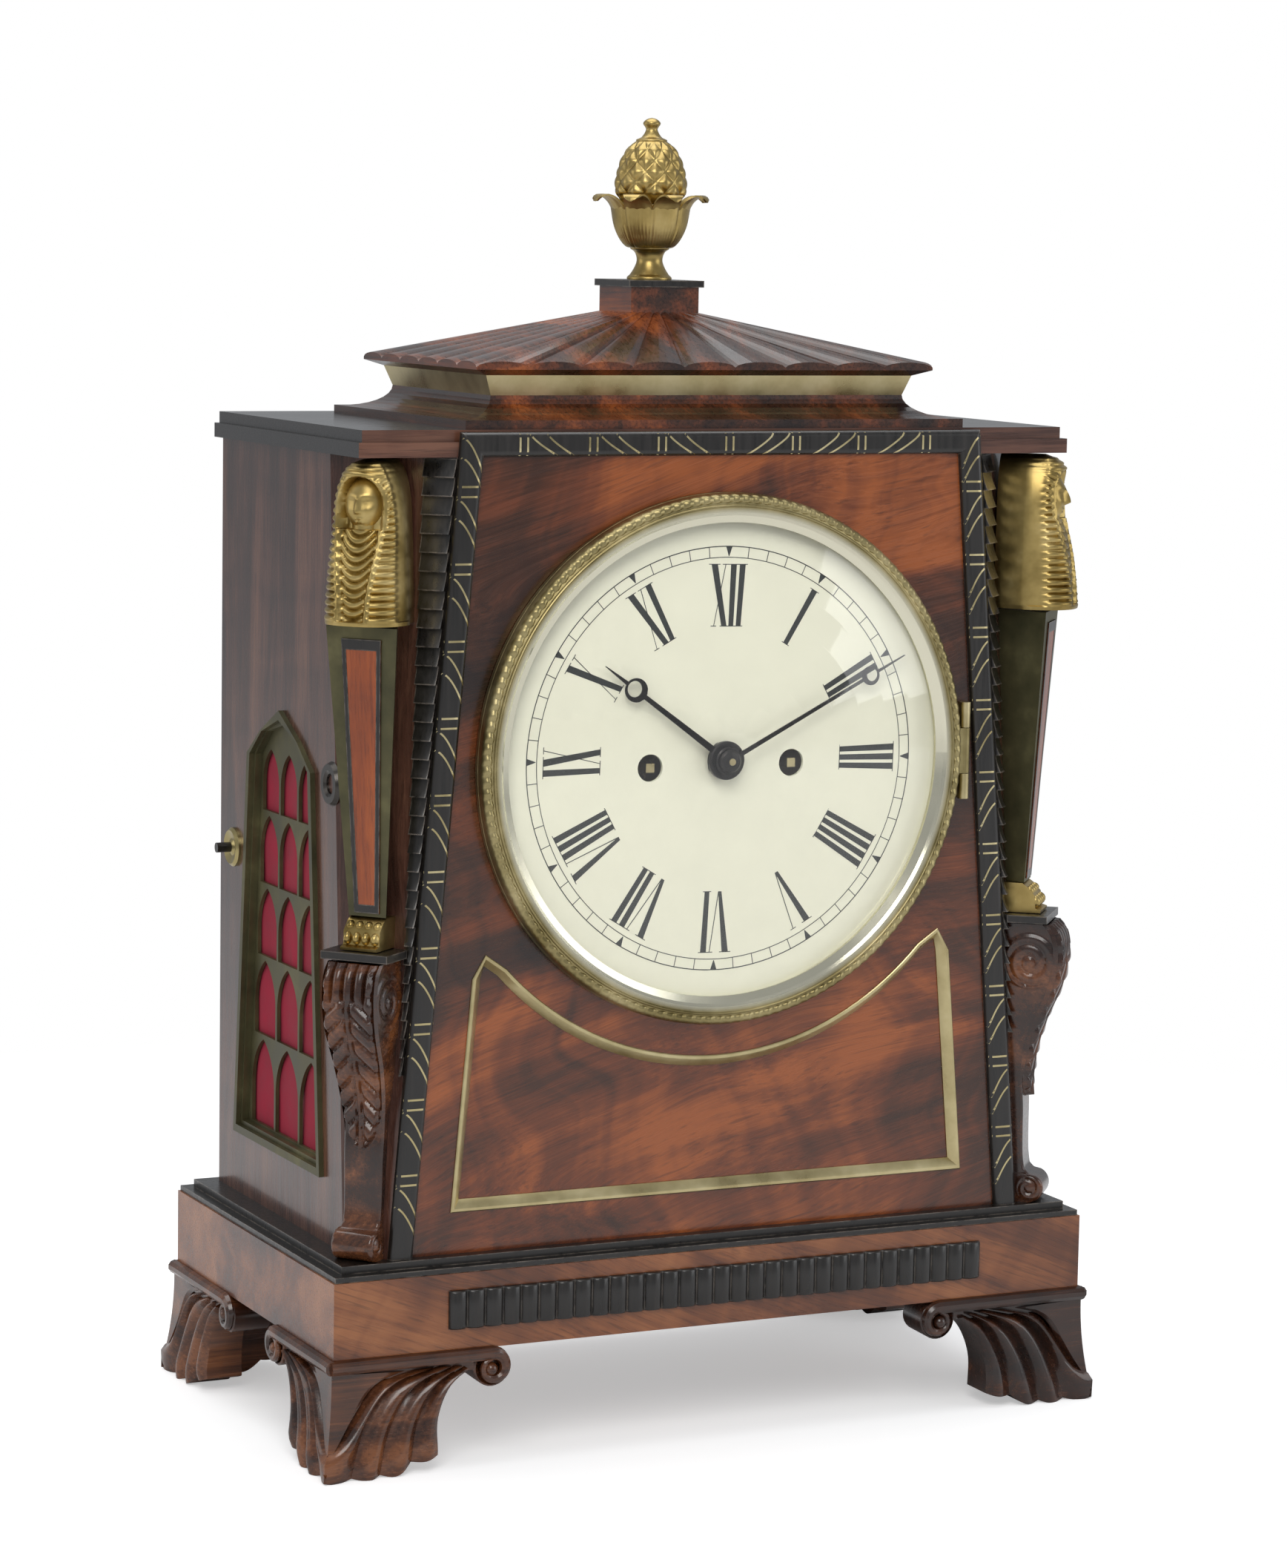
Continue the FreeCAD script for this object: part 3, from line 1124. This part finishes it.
def strike_train():
    fusee_at, pin_at, lock_at, fly_at = strike_places()
    back, front = float(BACK_PLATE), float(S.front_plate_back)
    great_y = back - float(S.great_back)
    size = float(S.strike_module)
    teeth, leaves = int(S.strike_teeth.value), int(S.pin_leaves.value)
    keep(feature(fusee(-1, teeth, size, meshed(teeth, leaves, size, fusee_at, pin_at)[0])), "strike_fusee")
    pin_wheel = strike_wheel(pin_at, leaves, size, int(S.pin_teeth.value), float(S.pin_module), (fusee_at, teeth),
                             (lock_at, int(S.lock_leaves.value)), great_y - 0.7, front + 11.0)
    pins = []
    for index in range(int(S.strike_pins.value)):
        angle = 2 * math.pi * index / int(S.strike_pins.value)
        reach = float(S.pin_module) * float(S.pin_teeth) / 2 - 2.1
        pins.append(arbor_along_y(0.6, pin_at[0] + reach * math.cos(angle), pin_at[1] + reach * math.sin(angle),
                                  front + 12.0, front + 15.0))
    keep(feature(pin_wheel.fuse(pins)), "pin_wheel")
    lock = strike_wheel(lock_at, int(S.lock_leaves.value), float(S.pin_module), int(S.lock_teeth.value),
                        float(S.lock_module), (pin_at, int(S.pin_teeth.value)), (fly_at, int(S.fly_leaves.value)),
                        front + 9.5, front + 4.0)
    keep(feature(lock), "locking_wheel")
    x, z = fly_at
    leaves, size = int(S.fly_leaves.value), float(S.lock_module)
    phase = meshed(int(S.lock_teeth.value), leaves, size, lock_at, fly_at)[1]
    pinion = moved(toothed(leaves, size * leaves / 2, size, 4.4, phase), x, front + 2.5, z)
    shaft = arbor_along_y(float(S.slim_arbor), x, z, front - 1.5, back + float(S.pivot))
    reach, span = float(S.fly_half), float(S.fly_length)
    vane = Part.makeBox(2 * reach, span, 0.6, V(x - reach, front + 20, z - 0.3))
    keep(feature(pinion.fuse([shaft, vane])), "fly")


def centre_arbor():
    """The centre arbor with its pinion and the centre wheel."""
    x, z = CENTRE
    size, leaves = great_size(), int(S.centre_leaves.value)
    start = (float(S.winding_offset), float(WIND_Z))
    phase = meshed(float(S.great_teeth), leaves, size, start, CENTRE)[1]
    great_y = float(BACK_PLATE) - float(S.great_back)
    pinion = moved(toothed(leaves, size * leaves / 2, size, 6.0, phase), x, great_y - 1.5, z)
    size = float(S.centre_module)
    teeth = int(S.centre_teeth.value)
    wheel_phase = meshed(teeth, float(S.third_leaves), size, CENTRE, THIRD)[0]
    wheel = moved(spoked(teeth, size * teeth / 2, size, float(S.wheel_sheet), wheel_phase), x,
                  float(S.front_plate_back) + 2.4, z)
    tip = -float(DIAL_FACE) - float(S.minute_hand_gap) - float(S.hand_sheet) - 2.9
    shaft = arbor_along_y(float(S.arbor), x, z, tip, float(BACK_PLATE) + 1.5)
    return shaft.fuse([pinion, wheel])


def cannon():
    """The pipe that carries the minute hand, held on the centre arbor by friction."""
    x, z = CENTRE
    size = 2 * float(S.motion_distance) / float(S.cannon_teeth + S.minute_wheel_teeth)
    leaves = int(S.cannon_teeth.value)
    phase = meshed(leaves, float(S.minute_wheel_teeth), size, CENTRE, MINUTE_WHEEL)[0]
    pinion = moved(toothed(leaves, size * leaves / 2, size, 2.4, phase), x, float(FRONT_PLATE) - 4.0, z)
    seat_of_hand = -float(DIAL_FACE) - float(S.minute_hand_gap)
    pipe = arbor_along_y(float(S.cannon_pipe), x, z, seat_of_hand, float(FRONT_PLATE) - 0.4)
    bore = arbor_along_y(float(S.arbor + S.cannon_play), x, z, seat_of_hand - 1, float(FRONT_PLATE) + 1)
    return pipe.fuse(pinion).cut(bore)


MOTION_TURN = math.radians(222)
MINUTE_WHEEL = (float(S.motion_distance) * math.cos(MOTION_TURN),
                float(S.dial_height) + float(S.motion_distance) * math.sin(MOTION_TURN))


def minute_wheel():
    """The intermediate wheel of the motion work, on a stud of the front plate."""
    x, z = MINUTE_WHEEL
    size = 2 * float(S.motion_distance) / float(S.cannon_teeth + S.minute_wheel_teeth)
    teeth = int(S.minute_wheel_teeth.value)
    phase = meshed(float(S.cannon_teeth), teeth, size, CENTRE, MINUTE_WHEEL)[1]
    wheel = moved(toothed(teeth, size * teeth / 2, size, 1.6, phase), x, float(FRONT_PLATE) - 3.6, z)
    leaf_size = 2 * float(S.motion_distance) / float(S.minute_leaves + S.hour_teeth)
    leaves = int(S.minute_leaves.value)
    leaf_phase = meshed(leaves, float(S.hour_teeth), leaf_size, MINUTE_WHEEL, CENTRE)[0]
    pinion = moved(toothed(leaves, leaf_size * leaves / 2, leaf_size, 3.0, leaf_phase), x, float(FRONT_PLATE) - 6.6, z)
    bore = arbor_along_y(1.56, x, z, float(FRONT_PLATE) - 8, float(FRONT_PLATE))
    return wheel.fuse(pinion).cut(bore)


def hour_wheel():
    """The hour wheel and its pipe, which carries the hour hand."""
    x, z = CENTRE
    size = 2 * float(S.motion_distance) / float(S.minute_leaves + S.hour_teeth)
    teeth = int(S.hour_teeth.value)
    phase = meshed(float(S.minute_leaves), teeth, size, MINUTE_WHEEL, CENTRE)[1]
    wheel = moved(toothed(teeth, size * teeth / 2, size, 1.6, phase), x, float(FRONT_PLATE) - 6.4, z)
    front = -float(DIAL_FACE) - float(S.hour_hand_gap) - float(S.hand_sheet)
    pipe = arbor_along_y(float(S.hour_pipe), x, z, front, float(FRONT_PLATE) - 5)
    return wheel.fuse(pipe).cut(arbor_along_y(float(S.cannon_pipe) + float(S.pipe_play), x, z, front - 9, 0))


def third_wheel():
    x, z = THIRD
    leaves = int(S.third_leaves.value)
    size = float(S.centre_module)
    phase = meshed(float(S.centre_teeth), leaves, size, CENTRE, THIRD)[1]
    front = float(S.front_plate_back)
    pinion = moved(toothed(leaves, size * leaves / 2, size, 4.0, phase), x, front + 1.6, z)
    size = float(S.third_module)
    teeth = int(S.third_teeth.value)
    wheel_phase = meshed(teeth, float(S.escape_leaves), size, THIRD, ESCAPE)[0]
    wheel = moved(spoked(teeth, size * teeth / 2, size, 1.4, wheel_phase), x, front + 6.6, z)
    return pinion.fuse([wheel, arbor_along_y(1.1, x, z, front - 1.5, float(BACK_PLATE) + 1.5)])


def escape_wheel():
    """The escape wheel: pointed teeth that lean, on a seven-leaf pinion."""
    x, z = ESCAPE
    leaves = int(S.escape_leaves.value)
    size = float(S.third_module)
    phase = meshed(float(S.third_teeth), leaves, size, THIRD, ESCAPE)[1]
    front = float(S.front_plate_back)
    pinion = moved(toothed(leaves, size * leaves / 2, size, 4.0, phase), x, front + 5.4, z)
    teeth, radius = int(S.escape_teeth.value), float(S.escape_radius)
    points = []
    for index in range(teeth):
        for share, reach in ((0.0, radius - 2.6), (0.42, radius), (0.5, radius - 2.6)):
            angle = 2 * math.pi * (index + share) / teeth
            points.append((reach * math.cos(angle), 0, reach * math.sin(angle)))
    wheel = moved(extrude(points, (0, 1.4, 0)), x, front + 30, z)
    return pinion.fuse([wheel, arbor_along_y(1.1, x, z, front - 1.5, float(BACK_PLATE) + 1.5)])


def pallets():
    """The anchor on its arbor, with the crutch behind the back plate."""
    x, z = PALLETS
    front, back = float(S.front_plate_back), float(BACK_PLATE)
    arbor_solid = arbor_along_y(1.1, x, z, front - 1.5, float(S.pendulum_y) - 3.0)
    drop = float(S.pallet_rise) - float(S.escape_radius)
    span = float(S.escape_radius) * 0.72
    anchor = extrude([(-2.5, 0, 2.5), (2.5, 0, 2.5), (span + 1.2, 0, -drop + 1.0), (span + 0.6, 0, -drop - 1.6),
                      (span - 1.2, 0, -drop + 1.6), (1.4, 0, -2.2), (-1.4, 0, -2.2), (-span + 1.2, 0, -drop + 1.6),
                      (-span - 0.6, 0, -drop - 1.6), (-span - 1.2, 0, -drop + 1.0)], (0, 2.4, 0))
    crutch = Part.makeBox(2.4, 1.6, 46.0, V(x - 1.2, back + float(S.plate_sheet) + 2.0, z - 46))
    fork = []
    for side in (-1, 1):
        fork.append(Part.makeBox(1.0, 15.5, 2.2, V(x + side * 2.2 - 0.5, back + float(S.plate_sheet) + 2.0, z - 46)))
    bridge = Part.makeBox(5.4, 1.6, 2.2, V(x - 2.7, back + float(S.plate_sheet) + 2.0, z - 46))
    return arbor_solid.fuse([moved(anchor, x, front + 29.5, z), crutch, bridge] + fork)


def pendulum():
    """A rod on a suspension spring with a lenticular bob and rating nut."""
    x, z = PALLETS
    y = float(S.pendulum_y)
    length, rod_radius = float(S.pendulum_length), float(S.rod_radius)
    spring = Part.makeBox(5.0, 0.3, 11.7, V(x - 2.5, y - 0.15, z - 6))
    stem = Part.makeCylinder(rod_radius, length + 24 - 6, V(x, y, z - length - 24), UP)
    radius, thick = float(S.bob_radius), float(S.bob_sheet)
    outline = [(0, -thick / 2, 0), (radius, -0.8, 0), (radius, 0.8, 0), (0, thick / 2, 0)]
    bends = {0: (radius * 0.55, -thick * 0.4, 0), 2: (radius * 0.55, thick * 0.4, 0)}
    bob = moved(Part.Face(edges_into(outline, bends)).revolve(V(), V(0, 1, 0), 360), x, y, z - length)
    nut = Part.makeCylinder(3.4, 4.0, V(x, y, z - length - radius - 5.5), UP)
    return stem.fuse([spring, bob, nut])


def movement_frame():
    """Two plates held apart by four pillars, with the back cock and the bell's post."""
    half, height = S.plate_half, S.plate_height
    foot = S.seat_top
    front = box(-half, half, FRONT_PLATE, S.front_plate_back, foot, foot + height)
    back = box(-half, half, BACK_PLATE, BACK_PLATE + S.plate_sheet, foot, foot + height)
    pieces = [front, back]
    inset = S.pillar_inset
    for side in (-1, 1):
        for z in (foot + inset, foot + height - inset):
            pieces.append(rod("y", S.pillar_radius, side * (half - inset), S.front_plate_back, z, S.plate_gap))
    rear = BACK_PLATE + S.plate_sheet
    cock_z = PALLETS[1] + 6.0
    pieces.append(box(-9, 9, rear, rear + 2.4, cock_z - 1, cock_z + 14))
    pieces.append(box(-5, 5, rear, S.pendulum_y + 4, cock_z, cock_z + 5))
    whole = fuse(*pieces)
    bores = []
    through = S.plate_gap + S.plate_sheet * 2 + 2
    slim = S.slim_arbor + S.pipe_play
    slim_places = [THIRD, ESCAPE, PALLETS, (S.hammer_x, S.hammer_height)] + strike_places()[1:]
    for (x, z), radius in [(CENTRE, S.arbor + S.pipe_play)] + [(place_of, slim) for place_of in slim_places]:
        bores.append(rod("y", radius, x, FRONT_PLATE - 1, z, through))
    for side in (-1, 1):
        bores.append(rod("y", S.fusee_arbor + S.pipe_play, side * S.winding_offset, FRONT_PLATE - 1, WIND_Z, through))
    stud = rod("y", 1.5, MINUTE_WHEEL[0], FRONT_PLATE - 7.4, MINUTE_WHEEL[1], 8.4)
    post_radius, post_foot = S.bell_post, foot + height - S.bell_post_drop
    post = rod("z", post_radius, S.bell_x, BELL_Y, post_foot, S.bell_foot + S.bell_height - S.bell_sheet - 0.12 - post_foot)
    arm = box(S.bell_x - post_radius, S.bell_x + post_radius, BELL_Y - post_radius, BACK_PLATE + 0.5, post_foot,
              post_foot + 6)
    return fuse(cut(whole, fuse(*bores)), stud, post, arm)


def bell():
    """An open-mouthed bell held at its crown."""
    curve = [(0.33, 0.985), (0.6, 0.92), (0.8, 0.78), (0.9, 0.56), (0.94, 0.32), (1.0, 0.0)]
    outer = [(0, S.bell_height)] + [(S.bell_radius * reach, S.bell_height * rise) for reach, rise in curve]
    inner = [(S.bell_radius * reach - S.bell_sheet * (0.3 + 0.7 * reach),
              (S.bell_height - S.bell_sheet) * rise) for reach, rise in reversed(curve)]
    return turned(outer + inner + [(0, S.bell_height - S.bell_sheet)], S.bell_x, BELL_Y, S.bell_foot)


def hammer():
    """The strike hammer: an arbor between the plates, an arm and a round head beside the bell."""
    x, z = float(S.hammer_x), float(S.hammer_height)
    front, back = float(S.front_plate_back), float(BACK_PLATE)
    y = float(BELL_Y)
    arbor_solid = arbor_along_y(float(S.slim_arbor), x, z, front - 1.5, back + 1.5)
    head_x = float(S.bell_x) + float(S.bell_radius) + 2.0
    top = float(S.bell_foot) + 4.0
    arm = extrude([(x - 1.6, y - 1.2, z), (x + 1.6, y - 1.2, z), (x + 1.6, y - 1.2, top - 6), (head_x + 8, y - 1.2, top + 1.6),
                   (head_x + 4, y - 1.2, top + 1.6), (head_x + 4, y - 1.2, top - 1.6), (x - 1.6, y - 1.2, top - 9)],
                  (0, 2.4, 0))
    head = Part.makeCylinder(3.6, 8.0, V(head_x, y, top), V(1, 0, 0))
    return arbor_solid.fuse([arm, head])


def barrels():
    """The two spring barrels, and the seat of their arbors in the plates."""
    x, z = float(S.barrel_x), float(S.dial_height) - float(S.barrel_drop)
    front, back = float(S.front_plate_back), float(BACK_PLATE)
    shapes = []
    for side in (-1, 1):
        drum = arbor_along_y(float(S.barrel_radius), side * x, z, front + 8, front + 8 + float(S.barrel_length))
        shapes.append(drum.fuse(arbor_along_y(3.0, side * x, z, front, back)))
    return Part.makeCompound(shapes)


def lines():
    """The gut lines from the large end of each fusee down to its barrel."""
    y = float(BACK_PLATE) - 14.5
    shapes = []
    for side in (-1, 1):
        top = V(side * (float(S.winding_offset) + float(S.fusee_large) + 1.0), y, float(WIND_Z))
        low = V(side * (float(S.barrel_x) + float(S.barrel_radius) + 1.5), y,
                float(S.dial_height) - float(S.barrel_drop))
        shapes.append(Part.makeCylinder(0.6, (low - top).Length, top, low - top))
    return Part.makeCompound(shapes)


def seat():
    """The seat board and the two cleats that carry it."""
    board = box(-INNER_HALF, INNER_HALF, S.seat_front, S.seat_back, S.seat_top - S.seat_board, S.seat_top)
    cleats = []
    for start, end in ((-INNER_HALF, -INNER_HALF + S.cleat), (INNER_HALF - S.cleat, INNER_HALF)):
        cleats.append(box(start, end, S.seat_front, S.seat_back + 30, S.seat_top - S.seat_board - S.cleat,
                          S.seat_top - S.seat_board))
    return group(board, *cleats)


def movement():
    keep(dial(), "dial_plate")
    keep(bezel(), "bezel")
    keep(bezel_hinge(), "bezel_hinge")
    keep(glass(), "bezel_glass")
    face = -float(DIAL_FACE)
    hour = hand(float(S.hour_hand_length), float(S.hour_boss), float(S.hour_ring_at), float(S.hour_ring),
                face - float(S.hour_hand_gap), float(S.hour_blade), float(S.hour_droop), 4.6)
    hour = hour.cut(arbor_along_y(float(S.hour_pipe), 0, 0, face - 12, face + 2))
    keep(feature(pointed(hour, SHOWN_HOUR * 5 + SHOWN_MINUTES / 12 + DIAL_TURN)), "hour_hand")
    minute_back = face - float(S.minute_hand_gap)
    minute = hand(float(S.minute_hand_length), float(S.minute_boss), float(S.minute_ring_at),
                  float(S.minute_ring), minute_back, float(S.minute_blade), float(S.minute_droop), 0.8)
    bore = S.arbor + S.cannon_play
    minute = minute.cut(arbor_along_y(float(bore), 0, 0, face - 14, face + 2))
    minute_front = -DIAL_FACE - S.minute_hand_gap - S.hand_sheet
    nut = turned_flat([(bore, minute_front), (S.nut_radius, minute_front), (S.nut_radius, minute_front - 0.9),
                       (S.nut_radius * 0.82, minute_front - 1.8), (S.nut_radius * 0.5, minute_front - 2.4),
                       (bore, minute_front - 2.6)], 0, S.dial_height)
    keep(group(feature(pointed(minute, SHOWN_MINUTES + DIAL_TURN)), nut), "minute_hand")
    keep(movement_frame(), "movement_frame")
    keep(seat(), "seat_board")
    keep(feature(centre_arbor()), "centre_arbor")
    keep(feature(cannon()), "cannon")
    keep(feature(minute_wheel()), "minute_wheel")
    keep(feature(hour_wheel()), "hour_wheel")
    going_at = (float(S.winding_offset), float(WIND_Z))
    phase = meshed(int(S.great_teeth.value), int(S.centre_leaves.value), great_size(), going_at, CENTRE)[0]
    keep(feature(fusee(1, int(S.great_teeth.value), great_size(), phase)), "going_fusee")
    strike_train()
    keep(feature(third_wheel()), "third_wheel")
    keep(feature(escape_wheel()), "escape_wheel")
    keep(feature(pallets()), "pallets")
    keep(feature(pendulum()), "pendulum")
    keep(feature(barrels()), "spring_barrels")
    keep(feature(lines()), "gut_lines")
    keep(bell(), "bell")
    keep(feature(hammer()), "hammer")


# ---------------------------------------------------------------- back door and side fittings
def back_door():
    gap, stile = S.door_gap, S.door_stile
    x1 = INNER_HALF - gap
    z0, z1 = CASE_FOOT + gap, CASE_TOP - gap
    y0, y1 = S.case_back - S.door_board, S.case_back
    slab = box(-x1, x1, y0, y1, z0, z1)
    light = box(-x1 + stile, x1 - stile, y0 - 1, y1 + 1, z0 + stile, z1 - stile)
    rebate = box(-x1 + stile - 5, x1 - stile + 5, y0 - 1, y0 + S.door_glass + 1.0, z0 + stile - 5, z1 - stile + 5)
    keep(cut(cut(slab, light), rebate), "back_door_frame")
    pane_y = y0 + 1.0
    keep(box(-x1 + stile - 4.6, x1 - stile + 4.6, pane_y, pane_y + S.door_glass, z0 + stile - 4.6, z1 - stile + 4.6),
         "back_door_glass")
    pin_x, pin_y = -INNER_HALF, S.case_back + S.door_pin_out
    fixed, moving = [], []
    leaf, third = 1.2, S.door_hinge_height / 3
    for low in (z0 + S.door_hinge_inset, z1 - S.door_hinge_inset - S.door_hinge_height):
        fixed.append(rod("z", S.pin_radius, pin_x, pin_y, low, S.door_hinge_height))
        for start in (low, low + third * 2):
            fixed.append(rod("z", S.door_knuckle, pin_x, pin_y, start, third))
            fixed.append(box(pin_x - 9, pin_x - 0.3, S.case_back, S.case_back + leaf, start, start + third))
            fixed.append(box(pin_x - S.door_knuckle, pin_x - 0.3, S.case_back, pin_y, start, start + third))
        middle, room = low + third + S.knuckle_gap, third - S.knuckle_gap * 2
        knuckle = fuse(rod("z", S.door_knuckle, pin_x, pin_y, middle, room),
                       box(pin_x + gap + 0.2, pin_x + S.door_knuckle, S.case_back, pin_y, middle, middle + room),
                       box(pin_x + gap + 0.2, pin_x + 9, S.case_back, S.case_back + leaf, middle, middle + room))
        moving.append(cut(knuckle, rod("z", S.pin_radius + S.pin_play, pin_x, pin_y, middle - 1, room + 2)))
    keep(fuse(*fixed), "back_door_pins")
    knob_y = S.case_back
    knob = turned_flat([(0, knob_y), (4.5, knob_y), (4.5, knob_y + 1.2), (2.4, knob_y + 2.2), (2.4, knob_y + 6),
                        (S.door_knob_radius, knob_y + 8.5), (S.door_knob_radius, knob_y + 11),
                        (3.0, knob_y + S.door_knob_out), (0, knob_y + S.door_knob_out)],
                       INNER_HALF - stile / 2, (z0 + z1) / 2)
    keep(group(*moving, knob), "back_door_fittings")


def side_fittings():
    """The dished rose of the repeat button, the button, and the lock's ring, all on the left side."""
    def turned_on_side(points, y, z):
        face = Part.Face(polygon([(-float(out), float(radius), 0) for radius, out in points]))
        shape = face.revolve(V(), V(1, 0, 0), 360)
        return moved(shape, -float(CASE_HALF), float(y), float(z))

    bore = float(S.button_radius) + 0.06
    rose = turned_on_side([(bore, 0), (S.rose_radius, 0), (S.rose_radius, S.rose_rise * 0.5),
                           (float(S.rose_radius) - 1.2, S.rose_rise), (bore + 1.6, float(S.rose_rise) * 0.55),
                           (bore, float(S.rose_rise) * 0.9)], S.rose_y, S.rose_height)
    ring = turned_on_side([(S.ring_bore, 0), (S.ring_radius, 0), (float(S.ring_radius) - 1.0, S.ring_rise),
                           (float(S.ring_bore) + 1.4, S.ring_rise), (S.ring_bore, float(S.ring_rise) * 0.5)],
                          S.ring_y, S.ring_height)
    keep(feature(Part.makeCompound([rose, ring])), "side_roses")
    keep(rod("x", S.button_radius, -CASE_HALF - S.button_out, S.rose_y, S.rose_height, S.button_length),
         "repeat_button")


# ---------------------------------------------------------------- build, check and write
def drill_button_hole():
    """Clear the left side board for the stem of the repeat button."""
    panel = [piece for piece in PIECES if piece.Label == "side_panel_left"][0]
    PIECES.remove(panel)
    panel.Label = "side_board_blank"
    hole = rod("x", S.button_radius + 0.06, -CASE_HALF - 1, S.rose_y, S.rose_height, S.side_board + 2)
    keep(cut(panel, hole), "side_panel_left")


def check_and_write():
    doc.recompute()
    for obj in doc.Objects:
        if "Invalid" in obj.State or "Error" in obj.State:
            raise RuntimeError(f"{obj.Name} {obj.Label} is {obj.State}")
    os.makedirs("parts", exist_ok=True)
    for piece in PIECES:
        shape = piece.Shape
        if shape.isNull() or not shape.isValid() or not shape.Solids:
            raise RuntimeError(f"{piece.Label} has no valid solid")
        shape.exportStep(f"parts/{piece.Label}.step")
        print(f"{piece.Label}: {len(shape.Solids)} solids, {shape.Volume:.0f} mm3")
    print(f"{len(PIECES)} pieces")


feet_and_plinth()
case()
windows()
top_and_roof()
corners()
movement()
back_door()
side_fittings()
drill_button_hole()
check_and_write()
